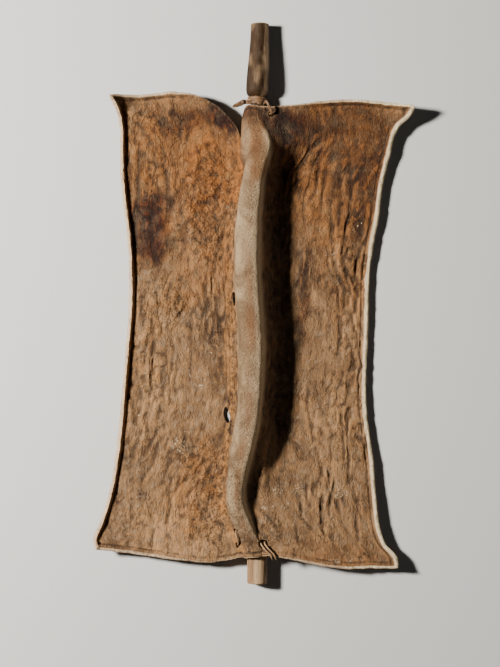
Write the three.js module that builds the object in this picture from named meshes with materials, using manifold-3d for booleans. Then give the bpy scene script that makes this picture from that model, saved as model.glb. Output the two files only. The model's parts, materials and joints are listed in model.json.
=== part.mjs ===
// A hide shield lying on its back: one thick sheet of rawhide with a hand ridge raised along its
// middle, held by two hide lashings to a straight wooden stave that runs behind it.
// Millimetres. X runs across the shield, Y along the stave towards its top end, Z up off the ground.

import * as THREE from 'three';
import { mergeVertices } from 'three/addons/utils/BufferGeometryUtils.js';
import Module from 'manifold-3d';

const wasm = await Module();
wasm.setup();

// Driving sizes of the stave
const STAVE_LENGTH = 894;
const STAVE_DIAMETER = 32;
const SHOULDER_DIAMETER = 37;
const SHOULDER_RUN = 14;
const TIP_DIAMETER = 29;
const GRIP_DIAMETER = 25;
const TOP_NECK_DEPTH = 4.4;
const TOP_NECK_LENGTH = 28;
const BOTTOM_NECK_DEPTH = 5.2;
const BOTTOM_NECK_LENGTH = 34;
const NECK_SHOULDER = 6;
const BACK_FLAT = 8;
const END_ROUND = 2;
const STAVE_BOW = 8;
const STAVE_X = 5;
const TIP_LEAN = 4.6;

// Driving sizes of the hide
const HIDE_LENGTH = 730;
const BOTTOM_OVERHANG = 42;
const HIDE_WIDTH = 508;
const WAIST_WIDTH = 376;
const WAIST_SHIFT = -10;
const HIDE_THICKNESS = 5.5;
const RIM_RISE = 8;
const RIM_RUN = 5.5;
const FOLD_IN = 7;
const CORNER_REACH = 46;
const END_ROLL_RUN = 26;
const END_WANDER = 10;
const PANEL_BOW = 9;

// Driving sizes of the ridge, and of the sheet over the stave
const RIDGE_WIDTH = 37;
const FINGER_DEPTH = 34.5;
const RIDGE_SWAY = 27;
const WALL_TUCK = 3;
const WALL_DROP = 8;
const FLANK_RUN = 14;
const FOOT_TURN = 8;
const FOOT_RISE = 4;
const SPREAD_RUN = 24;
const RAMP_RUN = 45;
const HUMP_RUN = 9;
const HUMP_SPREAD = 24;
const SOFT_JOIN = 4;
const BELOW_GROUND = 40;

// Driving sizes of the lashings and of the holes in the hide
const THONG_WIDTH = 4;
const THONG_THICKNESS = 3;
const LASH_TURNS = 3;
const TOP_HOLE = 9;
const BOTTOM_HOLE_WIDTH = 16;
const BOTTOM_HOLE_LENGTH = 14;
const STITCH_HOLE = 9;
const SLOT_WIDTH = 5;
const SLOT_LENGTH = 23;
const TEAR_WIDTH = 12;
const TEAR_LENGTH = 26;
const FIT_GAP = 0.6;

// Sizes that follow from those
const half = HIDE_THICKNESS / 2;
const crestHeight = GRIP_DIAMETER + FINGER_DEPTH + half;
const staveFoot = -STAVE_LENGTH / 2;
const hideFoot = staveFoot + BOTTOM_OVERHANG;
const waistHalf = WAIST_WIDTH / 2;
const clearance = half + FIT_GAP;
const thongReach = THONG_THICKNESS / 2 + FIT_GAP;

// A smooth curve through [place, value] stations, by cubic pieces whose slopes join
function through(stations) {
  const last = stations.length - 1;
  const slope = stations.map((_, i) => {
    const [x0, y0] = stations[Math.max(i - 1, 0)];
    const [x1, y1] = stations[Math.min(i + 1, last)];
    return (y1 - y0) / (x1 - x0);
  });
  return (x) => {
    const at = THREE.MathUtils.clamp(x, stations[0][0], stations[last][0]);
    let i = 0;
    while (i < last - 1 && at > stations[i + 1][0]) i += 1;
    const [x0, y0] = stations[i];
    const [x1, y1] = stations[i + 1];
    const span = x1 - x0;
    const t = (at - x0) / span;
    const rise = t * t * (3 - 2 * t);
    const enter = t * (1 - t) * (1 - t) * span * slope[i];
    const leave = t * t * (t - 1) * span * slope[i + 1];
    return y0 + (y1 - y0) * rise + enter + leave;
  };
}

const smoothstep = THREE.MathUtils.smoothstep;
const lerp = THREE.MathUtils.lerp;

// The larger of two heights, with the corner where they cross rounded over
const smoothMax = (a, b, round) => 0.5 * (a + b + Math.sqrt((a - b) ** 2 + round * round));

// A ramp that starts softly: nearly 0 below zero and nearly x above it
const softRamp = (x, soft) => 0.5 * (x + Math.sqrt(x * x + soft * soft));

// Places along the hide are shares of its length, s, from the lower edge (0) to the upper one (1)
const alongHide = (s) => hideFoot + s * HIDE_LENGTH;
const shareAt = (y) => (y - hideFoot) / HIDE_LENGTH;

// How far each long edge flares out, as a share of the way from the waist to the widest corner
const leftFlare = through([
  [0, 0.93], [0.02, 1], [0.06, 0.8], [0.13, 0.54], [0.2, 0.39], [0.3, 0.25], [0.43, 0.11],
  [0.56, 0], [0.68, 0.04], [0.76, 0.16], [0.84, 0.25], [0.93, 0.25], [0.97, 0.33], [1, 0.52],
]);
const rightFlare = through([
  [0, 0.66], [0.02, 0.64], [0.05, 0.4], [0.1, 0.26], [0.23, 0.15], [0.36, 0], [0.5, 0.04],
  [0.63, 0.07], [0.7, 0.15], [0.76, 0.26], [0.84, 0.36], [0.9, 0.5], [0.96, 0.67],
  [0.982, 0.9], [1, 1],
]);
const leftEdge = (s) => {
  const waist = -waistHalf + WAIST_SHIFT;
  return lerp(waist, -HIDE_WIDTH / 2, leftFlare(s));
};
const rightEdge = (s) => {
  const waist = waistHalf + WAIST_SHIFT;
  return lerp(waist, HIDE_WIDTH / 2, rightFlare(s));
};

// The ridge winds beside the stave's line: shares of RIDGE_SWAY, to the left where negative
const ridgeWind = through([
  [0, 0.04], [0.026, -0.04], [0.05, -0.36], [0.08, -0.66], [0.113, -0.96], [0.155, -1.03],
  [0.214, -0.81], [0.264, -0.56], [0.332, -0.28], [0.39, -0.17], [0.46, -0.12], [0.55, -0.24],
  [0.65, -0.38], [0.705, -0.36], [0.77, -0.29], [0.836, -0.11], [0.87, 0.06], [0.9, 0.2],
  [0.93, 0.18], [0.957, -0.1], [1, -0.28],
]);
const ridgeX = (s) => RIDGE_SWAY * ridgeWind(s);

// The ridge narrows towards its ends
const ridgeShare = through([
  [0, 0.62], [0.045, 0.66], [0.08, 0.74], [0.113, 0.7], [0.164, 0.74], [0.214, 0.9], [0.264, 1],
  [0.9, 1], [0.957, 0.84], [1, 0.6],
]);
const ridgeHalf = (s) => (RIDGE_WIDTH * ridgeShare(s)) / 2;

// The crest's height, as a share of its height over the grip
const crestShare = through([
  [0, 0.62], [0.03, 0.67], [0.07, 0.84], [0.1, 0.95], [0.14, 1], [0.86, 1], [0.94, 0.92],
  [1, 0.76],
]);

// The stave: its middle bows a little towards the ridge, its back lies on the ground, and a neck
// is cut round it for each lashing
const topNeck = { y: alongHide(0.985), depth: TOP_NECK_DEPTH, length: TOP_NECK_LENGTH };
const bottomNeck = { y: alongHide(0.042), depth: BOTTOM_NECK_DEPTH, length: BOTTOM_NECK_LENGTH };
const neckCut = (y) => [topNeck, bottomNeck].reduce((cut, neck) => {
  const beyond = Math.abs(y - neck.y) - neck.length / 2;
  return cut + neck.depth * (1 - smoothstep(beyond, 0, NECK_SHOULDER));
}, 0);
const gripShare = through([
  [0, 0], [0.14, 0], [0.3, 0.6], [0.42, 1], [0.72, 1], [0.84, 0.6], [0.93, 0], [1, 0],
]);
const staveX = (y) => {
  const lean = TIP_LEAN * smoothstep(y, topNeck.y, STAVE_LENGTH / 2);
  return STAVE_X - STAVE_BOW * gripShare(shareAt(y)) + lean;
};
const staveWidth = (y) => {
  const beyond = y - topNeck.y - topNeck.length / 2;
  if (beyond <= 0) return lerp(STAVE_DIAMETER, GRIP_DIAMETER, gripShare(shareAt(y)));
  const swell = lerp(STAVE_DIAMETER, SHOULDER_DIAMETER, smoothstep(beyond, 0, SHOULDER_RUN));
  const taper = smoothstep(y, topNeck.y + topNeck.length, STAVE_LENGTH / 2);
  return lerp(swell, TIP_DIAMETER, taper);
};
const staveRadius = (y) => staveWidth(y) / 2 - neckCut(y);
const staveAxisZ = (y) => {
  const round = staveWidth(y) / 2;
  return Math.sqrt(round * round - (BACK_FLAT / 2) ** 2);
};

// Near both ends the sheet is tied over the stave: 1 there, 0 along the free middle. On the right
// the lower end spreads over the stave, and the upper one falls off in a long even ramp
const tied = (s) => 1 - smoothstep(s, 0.02, 0.31) + smoothstep(s, 0.84, 1);
const spreadOver = (s) => 1 - smoothstep(s, 0.17, 0.31);
const widened = (s) => 1 - smoothstep(s, 0.03, 0.17) + smoothstep(s, 0.84, 1);
const ramped = (s) => smoothstep(s, 0.84, 0.92);

// Height that the hide keeps over the stave: close over it along the ridge, wider where tied
function coverHeight(x, y, s) {
  const radius = staveWidth(y) / 2;
  const top = staveAxisZ(y) + radius + clearance;
  const spread = radius + clearance + HUMP_RUN + HUMP_SPREAD * widened(s);
  const near = Math.exp(-(((x - staveX(y)) / spread) ** 4));
  return lerp(-BELOW_GROUND, top, near);
}

// Heights of the sheet's middle
const bow = (s) => PANEL_BOW * (2 * s - 1) ** 2;
const between = (from, to, share) => (s) => lerp(from(s), to(s), share);
const belly = (s) => half + bow(s);
const lifted = (share) => (s) => belly(s) + share * STAVE_DIAMETER * tied(s);
const crest = (s) => crestHeight * crestShare(s);
const wall = (s) => Math.min(STAVE_DIAMETER + half + FIT_GAP, crest(s) - WALL_DROP);
const foldHeight = lifted(0.1);
const rimTop = (s) => foldHeight(s) + RIM_RISE;
const leftFootHeight = (s) => lifted(0.5)(s) + FOOT_RISE;
const rightFootHeight = (s) => lifted(0.62)(s) + FOOT_RISE * (1 + widened(s));

// Places across the sheet
const leftFold = (s) => leftEdge(s) + RIM_RUN;
const rightFold = (s) => rightEdge(s) - RIM_RUN;
const leftWall = (s) => ridgeX(s) - ridgeHalf(s);
const crestLeft = (s) => leftWall(s) + WALL_TUCK;
const crestRight = (s) => ridgeX(s) + ridgeHalf(s) - WALL_TUCK;
const leftFoot = (s) => leftWall(s) - FLANK_RUN * (1 - 0.72 * smoothstep(s, 0.88, 0.98));
const besideStave = (s) => staveX(alongHide(s)) + staveWidth(alongHide(s)) / 2 + clearance;
const steepWall = (s) => {
  const overStave = besideStave(s) - 2 * clearance - STAVE_DIAMETER * spreadOver(s);
  return Math.max(crestRight(s) + WALL_TUCK, overStave);
};
const steepFoot = (s) => {
  return lerp(steepWall(s) + FLANK_RUN, besideStave(s) + SPREAD_RUN, spreadOver(s));
};
const rightFoot = (s) => lerp(steepFoot(s), besideStave(s) + RAMP_RUN, ramped(s));
const rightWall = (s) => lerp(steepWall(s), between(crestRight, rightFoot, 0.22)(s), ramped(s));
const rightWallHeight = (s) => lerp(wall(s), between(crest, rightFootHeight, 0.42)(s), ramped(s));

// Control columns of the sheet's section, from the left edge to the right. x gives a place across
// and z a height of the sheet's middle, top and bottom where the column ends lie beside the
// straight line across, in shares of END_WANDER, and lip how much of the end flange the column has
// (negative rolls backward). cells is how many faces lie across to the next column
const columns = [
  { x: leftEdge, z: rimTop, top: 0.2, bottom: 1.5, lip: 1, cells: 3 },
  { x: leftFold, z: foldHeight, top: 0.3, bottom: 1.5, lip: 1, cells: 2 },
  { x: (s) => leftFold(s) + FOLD_IN, z: lifted(0.12), top: 0.4, bottom: 1.4, lip: 1, cells: 2 },
  { x: between(leftFold, leftFoot, 0.25), z: lifted(0.2), top: 0.5, bottom: 0.8, lip: 1, cells: 2 },
  { x: between(leftFold, leftFoot, 0.5), z: lifted(0.36), top: 1.2, bottom: 0, lip: 1, cells: 2 },
  { x: between(leftFold, leftFoot, 0.76), z: lifted(0.46), top: 0.1, bottom: -0.8, lip: 0.2, cells: 2 },
  { x: (s) => leftFoot(s) - FOOT_TURN, z: lifted(0.5), top: -3.8, bottom: -0.2, lip: -0.5, cells: 2 },
  { x: leftFoot, z: leftFootHeight, top: -5.6, bottom: 0.3, lip: -0.7, cells: 3 },
  { x: leftWall, z: wall, top: -7, bottom: 0.2, lip: -0.4, cells: 3 },
  { x: crestLeft, z: crest, top: -1.3, bottom: 0.3, lip: 0, cells: 4 },
  { x: crestRight, z: crest, top: -1.4, bottom: 0.4, lip: 0, cells: 3 },
  { x: rightWall, z: rightWallHeight, top: -1.6, bottom: 0.6, lip: 0, cells: 3 },
  { x: rightFoot, z: rightFootHeight, top: -1.2, bottom: 0.3, lip: 0.4, cells: 2 },
  { x: between(rightFoot, rightFold, 0.2), z: lifted(0.6), top: -0.6, bottom: -0.5, lip: 1, cells: 2 },
  { x: between(rightFoot, rightFold, 0.5), z: lifted(0.4), top: -0.2, bottom: -1.6, lip: 1, cells: 2 },
  { x: between(rightFoot, rightFold, 0.8), z: lifted(0.2), top: -0.7, bottom: -1.5, lip: 1, cells: 2 },
  { x: (s) => rightFold(s) - FOLD_IN, z: lifted(0.12), top: -1.1, bottom: -1.5, lip: 1, cells: 2 },
  { x: rightFold, z: foldHeight, top: -1.2, bottom: -1.5, lip: 1, cells: 3 },
  { x: rightEdge, z: rimTop, top: -1.5, bottom: -1.5, lip: 1, cells: 0 },
];

// Corners curl forward more than the rims do: rise is a share of CORNER_REACH
const cornerCurls = [
  { across: leftEdge, s: 1, rise: 0.65 },
  { across: rightEdge, s: 1, rise: 0.4 },
  { across: leftEdge, s: 0, rise: 0.26 },
  { across: rightEdge, s: 0, rise: 0.13 },
];

// Quadratic spline weights of the three columns that shape span i at t
function weightsAt(span, t) {
  const weights = new Array(columns.length).fill(0);
  const last = columns.length - 1;
  const share = [0.5 * (1 - t) ** 2, 0.5 + t * (1 - t), 0.5 * t * t];
  for (let k = -1; k <= 1; k += 1) {
    const column = span + k;
    const w = share[k + 1];
    if (column === 0) {
      weights[0] += 2 * w;
      weights[1] -= w;
    } else if (column === last) {
      weights[last] += 2 * w;
      weights[last - 1] -= w;
    } else {
      weights[column] += w;
    }
  }
  return weights;
}

// The middle of the sheet, at column weights and the share s along it
function sheetPoint(weights, s) {
  const blend = (value) => columns.reduce((sum, c, i) => sum + weights[i] * value(c), 0);
  const x = blend((c) => c.x(s));
  const topY = alongHide(1) + END_WANDER * blend((c) => c.top);
  const bottomY = alongHide(0) + END_WANDER * blend((c) => c.bottom);
  const y = lerp(bottomY, topY, s);
  let z = blend((c) => c.z(s));
  z = smoothMax(z, coverHeight(x, y, s), SOFT_JOIN * (1 + tied(s)));
  const lip = blend((c) => c.lip);
  const run = lip > 0 ? lerp(END_ROLL_RUN, RIM_RUN, lip) : END_ROLL_RUN;
  const onRim = THREE.MathUtils.clamp(weights[0] + weights.at(-1), 0, 1);
  const fromEnd = Math.min(topY - y, lip > 0 ? y - bottomY : Infinity);
  z += (RIM_RISE * lip * (1 - onRim) * softRamp(run - fromEnd, SOFT_JOIN / 2)) / run;
  for (const curl of cornerCurls) {
    const endY = curl.s === 1 ? topY : bottomY;
    const away = Math.hypot(x - curl.across(curl.s), y - endY) / CORNER_REACH;
    z += curl.rise * CORNER_REACH * Math.exp(-2.5 * away ** 1.5);
  }
  return new THREE.Vector3(x, y, z);
}

// Row places along the hide, closer together at the two ends
function rowPlaces() {
  const roll = END_ROLL_RUN / HIDE_LENGTH;
  const ends = [0, 0.12, 0.24, 0.36, 0.5, 0.7, 1, 1.45, 2.1].map((share) => share * roll);
  const middle = 13;
  const inner = Array.from({ length: middle }, (_, i) => {
    return lerp(ends.at(-1), 1 - ends.at(-1), (i + 1) / (middle + 1));
  });
  return [...ends, ...inner, ...ends.map((s) => 1 - s).reverse()];
}

function columnWeights() {
  const list = [];
  for (let span = 1; span < columns.length - 1; span += 1) {
    const cells = columns[span].cells;
    for (let k = 0; k < cells; k += 1) list.push(weightsAt(span, k / cells));
  }
  list.push(weightsAt(columns.length - 2, 1));
  return list;
}

// A closed sheet of the hide's thickness about a grid of middle points
function thicken(grid) {
  const rows = grid.length;
  const across = grid[0].length;
  const clamp = THREE.MathUtils.clamp;
  const at = (r, c) => grid[clamp(r, 0, rows - 1)][clamp(c, 0, across - 1)];
  const vertices = [];
  for (const side of [1, -1]) {
    for (let r = 0; r < rows; r += 1) {
      for (let c = 0; c < across; c += 1) {
        const alongX = at(r, c + 1).clone().sub(at(r, c - 1));
        const alongY = at(r + 1, c).clone().sub(at(r - 1, c));
        const normal = alongX.cross(alongY).normalize();
        const point = at(r, c).clone().addScaledVector(normal, side * half);
        vertices.push(point.x, point.y, point.z);
      }
    }
  }
  const index = [];
  const front = (r, c) => r * across + c;
  const back = (r, c) => rows * across + r * across + c;
  const quad = (a, b, c, d) => index.push(a, b, c, a, c, d);
  for (let r = 0; r < rows - 1; r += 1) {
    for (let c = 0; c < across - 1; c += 1) {
      quad(front(r, c), front(r, c + 1), front(r + 1, c + 1), front(r + 1, c));
      quad(back(r, c), back(r + 1, c), back(r + 1, c + 1), back(r, c + 1));
    }
    quad(front(r, 0), front(r + 1, 0), back(r + 1, 0), back(r, 0));
    const right = across - 1;
    quad(back(r, right), back(r + 1, right), front(r + 1, right), front(r, right));
  }
  for (let c = 0; c < across - 1; c += 1) {
    const top = rows - 1;
    quad(back(0, c), back(0, c + 1), front(0, c + 1), front(0, c));
    quad(front(top, c), front(top, c + 1), back(top, c + 1), back(top, c));
  }
  const geometry = new THREE.BufferGeometry();
  geometry.setAttribute('position', new THREE.Float32BufferAttribute(vertices, 3));
  geometry.setIndex(index);
  return geometry;
}

// Solids for joining and cutting, and back
function toSolid(geometry) {
  const bare = geometry.clone();
  bare.deleteAttribute('normal');
  bare.deleteAttribute('uv');
  const merged = mergeVertices(bare, 1e-4);
  return new wasm.Manifold(new wasm.Mesh({
    numProp: 3,
    vertProperties: new Float32Array(merged.attributes.position.array),
    triVerts: new Uint32Array(merged.index.array),
  }));
}

function toGeometry(solid) {
  const mesh = solid.getMesh();
  const geometry = new THREE.BufferGeometry();
  geometry.setAttribute('position', new THREE.BufferAttribute(mesh.vertProperties, 3));
  geometry.setIndex(new THREE.BufferAttribute(mesh.triVerts, 1));
  geometry.computeVertexNormals();
  return geometry;
}

const join = (geometries) => geometries.map(toSolid).reduce((a, b) => a.add(b));

// Places on the sheet, found by walking its section
const fineWeights = [];
for (let span = 1; span < columns.length - 1; span += 1) {
  for (let k = 0; k < 12; k += 1) fineWeights.push(weightsAt(span, k / 12));
}
const nearest = (points, miss) => points.reduce((a, b) => (miss(b) < miss(a) ? b : a));
function sheetHeight(x, y) {
  const points = fineWeights.map((weights) => {
    const start = sheetPoint(weights, 0).y;
    const end = sheetPoint(weights, 1).y;
    return sheetPoint(weights, THREE.MathUtils.clamp((y - start) / (end - start), 0, 1));
  });
  return nearest(points, (point) => Math.hypot(point.x - x, point.y - y)).z;
}
function lowerEdge(x) {
  const points = fineWeights.map((weights) => sheetPoint(weights, 0));
  return nearest(points, (point) => Math.abs(point.x - x)).y;
}

// Holes through the hide: one for each lashing, two for the stitch, a worn slot and a tear
const roundHole = (x, s, size) => ({ x, s, across: size, along: size, turn: 0 });
const stitchX = STAVE_X - STAVE_DIAMETER;
const topHole = roundHole(STAVE_X + STAVE_DIAMETER / 2 + TOP_HOLE / 2 + 1, 0.963, TOP_HOLE);
const stitchUpper = roundHole(stitchX, 0.062, STITCH_HOLE);
const stitchLower = roundHole(stitchX + THONG_WIDTH / 2, 0.03, STITCH_HOLE);
const bottomHole = {
  x: STAVE_X + STAVE_DIAMETER / 4 + 1, s: 0.034,
  across: BOTTOM_HOLE_WIDTH, along: BOTTOM_HOLE_LENGTH, turn: 0,
};
const wornSlot = {
  x: leftWall(0.564) - 0.7 * SLOT_WIDTH, s: 0.564,
  across: SLOT_WIDTH, along: SLOT_LENGTH, turn: 0,
};
const tear = { x: leftFoot(0.31), s: 0.31, across: TEAR_WIDTH, along: TEAR_LENGTH, turn: 0.2 };

function holeCutter({ x, s, across, along, turn }) {
  const outline = new THREE.Shape();
  outline.absellipse(0, 0, across / 2, along / 2, 0, Math.PI * 2, false, turn);
  const depth = 2 * crestHeight;
  const cutter = new THREE.ExtrudeGeometry(outline, { depth, bevelEnabled: false, curveSegments: 4 });
  cutter.translate(x, alongHide(s), -depth / 4);
  return toSolid(cutter);
}

function hide() {
  const weights = columnWeights();
  const grid = rowPlaces().map((s) => weights.map((w) => sheetPoint(w, s)));
  let solid = toSolid(thicken(grid));
  for (const hole of [topHole, bottomHole, stitchUpper, stitchLower, wornSlot, tear]) {
    solid = solid.subtract(holeCutter(hole));
  }
  return toGeometry(solid);
}

// The stave: rings of a round pole with a narrow flat all along its back
function stave() {
  const sides = 18;
  const steps = 24;
  const places = [staveFoot + END_ROUND, -staveFoot - END_ROUND];
  for (let i = 0; i <= steps; i += 1) places.push(staveFoot + (i * STAVE_LENGTH) / steps);
  for (const neck of [topNeck, bottomNeck]) {
    for (const side of [-1, 1]) {
      for (const share of [0, 0.5, 1]) {
        places.push(neck.y + side * (neck.length / 2 + share * NECK_SHOULDER));
      }
    }
  }
  const ordered = [...new Set(places)].sort((a, b) => a - b);
  const rings = ordered.filter((y, i) => i === 0 || y - ordered[i - 1] > 0.5);
  const vertices = [];
  for (const y of rings) {
    const nearEnd = Math.min(y - staveFoot, -staveFoot - y);
    const radius = staveRadius(y) - END_ROUND * (1 - smoothstep(nearEnd, -END_ROUND, END_ROUND));
    const flatHalf = Math.asin(BACK_FLAT / 2 / radius);
    for (let k = 0; k < sides; k += 1) {
      const angle = -Math.PI / 2 + lerp(flatHalf, 2 * Math.PI - flatHalf, k / (sides - 1));
      const x = staveX(y) + radius * Math.cos(angle);
      vertices.push(x, y, staveAxisZ(y) + radius * Math.sin(angle));
    }
  }
  const index = [];
  const last = (rings.length - 1) * sides;
  for (let k = 0; k < sides; k += 1) {
    const next = (k + 1) % sides;
    for (let r = 0; r < rings.length - 1; r += 1) {
      const here = r * sides;
      const above = here + sides;
      index.push(here + k, above + k, above + next, here + k, above + next, here + next);
    }
    if (k > 0 && k < sides - 1) {
      index.push(0, k, next);
      index.push(last, last + next, last + k);
    }
  }
  const geometry = new THREE.BufferGeometry();
  geometry.setAttribute('position', new THREE.Float32BufferAttribute(vertices, 3));
  geometry.setIndex(index);
  geometry.computeVertexNormals();
  return geometry;
}

// A thong: a flattened section with eight sides, swept along a curve through its points
function thong(points, steps) {
  const section = new THREE.Shape();
  section.absellipse(0, 0, THONG_THICKNESS / 2, THONG_WIDTH / 2, 0, Math.PI * 2, false, 0);
  const path = new THREE.CatmullRomCurve3(points.map((p) => new THREE.Vector3(...p)));
  return new THREE.ExtrudeGeometry(section, { steps, extrudePath: path, curveSegments: 3 });
}

// Points round the stave's neck, from one angle to another, angles in turns from the right side
function roundNeck(y, from, to, count, slack) {
  const reach = staveRadius(y) + thongReach + slack;
  return Array.from({ length: count }, (_, i) => {
    const angle = 2 * Math.PI * lerp(from, to, i / (count - 1));
    return [staveX(y) + reach * Math.cos(angle), y, staveAxisZ(y) + reach * Math.sin(angle)];
  });
}

// A ring of thong closed on itself round the neck
function turnOfThong(y) {
  const reach = staveRadius(y) + thongReach;
  const ring = new THREE.TorusGeometry(reach, 1, 6, 20);
  const position = ring.attributes.position;
  for (let i = 0; i < position.count; i += 1) {
    const x = position.getX(i);
    const z = position.getY(i);
    const out = Math.hypot(x, z);
    const thick = ((out - reach) * THONG_THICKNESS) / 2;
    const wide = (position.getZ(i) * THONG_WIDTH) / 2;
    const grow = (reach + thick) / out;
    position.setXYZ(i, x * grow, wide, z * grow);
  }
  const index = ring.index.array;
  for (let i = 0; i < index.length; i += 3) {
    const keep = index[i];
    index[i] = index[i + 1];
    index[i + 1] = keep;
  }
  ring.translate(staveX(y), y, staveAxisZ(y));
  return ring;
}

// Distances along the thongs' routes are in widths of the thong
const wide = (count) => count * THONG_WIDTH;
const overSheet = (x, y) => sheetHeight(x, y) + half + thongReach;
const underSheet = (x, y) => sheetHeight(x, y) - half - thongReach;

function topLashing() {
  const pitch = wide(0.86);
  const firstTurn = topNeck.y + wide(1);
  const pieces = [];
  for (let i = 0; i < LASH_TURNS; i += 1) pieces.push(turnOfThong(firstTurn + i * pitch));
  const holeY = alongHide(topHole.s);
  const over = overSheet(topHole.x, holeY);
  const under = underSheet(topHole.x, holeY);
  const rightSide = staveX(firstTurn) + staveRadius(firstTurn) + thongReach;
  const loop = [
    ...roundNeck(firstTurn, 0.24, 0.12, 3, wide(0.2)),
    [rightSide + wide(0.25), firstTurn - wide(0.5), over + wide(1.2)],
    [topHole.x, holeY + wide(1.2), over + wide(1)],
    [topHole.x, holeY, (over + under) / 2],
    [rightSide + wide(0.25), holeY + wide(1), under - wide(1.2)],
    [rightSide + wide(0.4), firstTurn - wide(0.75), staveAxisZ(firstTurn) - wide(1)],
    ...roundNeck(firstTurn, -0.04, -0.12, 2, wide(0.2)),
  ];
  pieces.push(thong(loop, 17));
  const neckLeft = staveX(firstTurn) - staveRadius(firstTurn);
  const besideNeck = staveAxisZ(firstTurn);
  const knot = new THREE.SphereGeometry(1, 8, 6);
  knot.scale(wide(1.5), wide(1), THONG_THICKNESS * 1.5);
  knot.rotateZ(0.5);
  knot.translate(neckLeft - wide(2.75), firstTurn + pitch, besideNeck + wide(0.5));
  pieces.push(knot);
  const stub = [
    ...roundNeck(firstTurn + pitch, 0.34, 0.46, 4, wide(0.35)),
    [neckLeft - wide(2.5), firstTurn + pitch, besideNeck + wide(0.5)],
    [neckLeft - wide(4.75), firstTurn - wide(0.25), besideNeck + wide(1)],
    [neckLeft - wide(6.75), firstTurn - wide(1.25), besideNeck + wide(1.75)],
  ];
  pieces.push(thong(stub, 9));
  return toGeometry(join(pieces));
}

function bottomLashing() {
  const y = bottomNeck.y;
  const upperY = alongHide(stitchUpper.s);
  const lowerY = alongHide(stitchLower.s);
  const holeY = alongHide(bottomHole.s);
  const holeRight = bottomHole.x + wide(0.75);
  const edgeY = lowerEdge(holeRight);
  const stitch = [
    ...roundNeck(y, 0.06, -0.54, 12, wide(0.15)),
    [stitchUpper.x + wide(1), upperY - wide(0.5), underSheet(stitchUpper.x, upperY) - wide(1.25)],
    [stitchUpper.x, upperY, sheetHeight(stitchUpper.x, upperY)],
    [stitchUpper.x - wide(0.3), upperY - wide(1.2), overSheet(stitchUpper.x, upperY - wide(1.2)) + wide(1)],
    [stitchLower.x, lowerY + wide(1.5), overSheet(stitchLower.x, lowerY + wide(1.5)) + wide(0.85)],
    [stitchLower.x, lowerY, sheetHeight(stitchLower.x, lowerY)],
    [stitchLower.x + wide(1.5), lowerY + wide(0.5), underSheet(stitchLower.x, lowerY) - wide(1.5)],
  ];
  const pieces = [thong(stitch, 28)];
  for (const [aside, drift] of [[0, 0], [wide(-1.5), wide(0.6)]]) {
    const startX = holeRight + aside;
    const endHeight = overSheet(startX + wide(3.5), edgeY + wide(0.75));
    const strand = [
      ...roundNeck(y + drift, -0.3, 0.06, 9, wide(0.15)),
      [startX, holeY + drift / 2, sheetHeight(startX, holeY)],
      [startX + wide(1.25), holeY - wide(1.75), overSheet(startX + wide(1.5), holeY - wide(2)) + wide(0.75)],
      [startX + wide(3.5), edgeY + wide(0.75), endHeight + wide(0.75)],
      [startX + wide(4.5), edgeY - wide(1.5), endHeight + wide(0.25)],
    ];
    pieces.push(thong(strand, 18));
  }
  return toGeometry(join(pieces));
}

// Materials and the finished object
const rawhide = new THREE.MeshStandardMaterial({ color: 0x8a6744, roughness: 0.8, metalness: 0 });
const wood = new THREE.MeshStandardMaterial({ color: 0x8f785a, roughness: 0.6, metalness: 0 });
const thongHide = new THREE.MeshStandardMaterial({ color: 0x6b4c31, roughness: 0.75, metalness: 0 });

function named(name, geometry, material) {
  const mesh = new THREE.Mesh(geometry, material);
  mesh.name = name;
  return mesh;
}

const shield = new THREE.Group();
shield.add(named('hide', hide(), rawhide));
shield.add(named('stave', stave(), wood));
shield.add(named('top_lashing', topLashing(), thongHide));
shield.add(named('bottom_lashing', bottomLashing(), thongHide));

// The origin is under the middle of the whole shield, on the ground it lies on
const extent = new THREE.Box3().setFromObject(shield);
const middle = extent.getCenter(new THREE.Vector3());
shield.position.set(-middle.x, -middle.y, -extent.min.z);

export default shield;
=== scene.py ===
# %% [markdown]
# A hide shield, seen from straight above as it lies on its back. The real one is a single thick
# sheet of rawhide, wetted and pressed over a pole so that a hollow ridge stands up along its
# middle, with all four margins turned forward. Two hide lashings tie it to a wooden stave.
# The construction is loaded first as a fixed frame, and every piece made here sits on it.

import json
import math

import bpy
import numpy as np
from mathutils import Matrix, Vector


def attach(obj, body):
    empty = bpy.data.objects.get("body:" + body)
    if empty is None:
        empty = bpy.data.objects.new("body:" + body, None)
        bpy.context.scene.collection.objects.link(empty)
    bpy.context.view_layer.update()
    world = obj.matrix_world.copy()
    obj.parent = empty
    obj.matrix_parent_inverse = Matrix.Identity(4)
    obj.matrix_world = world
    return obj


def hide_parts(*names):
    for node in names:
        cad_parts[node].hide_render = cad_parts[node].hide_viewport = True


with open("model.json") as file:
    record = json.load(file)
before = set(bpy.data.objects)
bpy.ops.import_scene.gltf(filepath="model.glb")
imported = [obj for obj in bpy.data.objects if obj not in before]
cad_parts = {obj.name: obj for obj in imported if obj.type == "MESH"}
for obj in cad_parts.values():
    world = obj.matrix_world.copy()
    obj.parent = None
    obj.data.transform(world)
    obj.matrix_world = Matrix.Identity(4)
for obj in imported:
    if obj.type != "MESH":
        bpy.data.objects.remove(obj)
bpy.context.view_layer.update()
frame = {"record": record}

# %% [markdown]
# The photograph is 500 by 667 pixels and looks straight down on the shield's front. One pixel is
# 1.6 mm on the object, which fixes the lens and how high the camera hangs: a long lens keeps the
# raised ridge from leaning, so the camera is far away.

# %% Camera
PHOTO_HEIGHT = 667
METRES_PER_PIXEL = 0.0016
PHOTO_CENTRE_OFFSET = (-0.0056, -0.0480)
LENS = 0.085
SENSOR = 0.036
SHEET_LEVEL = 0.012


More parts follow.
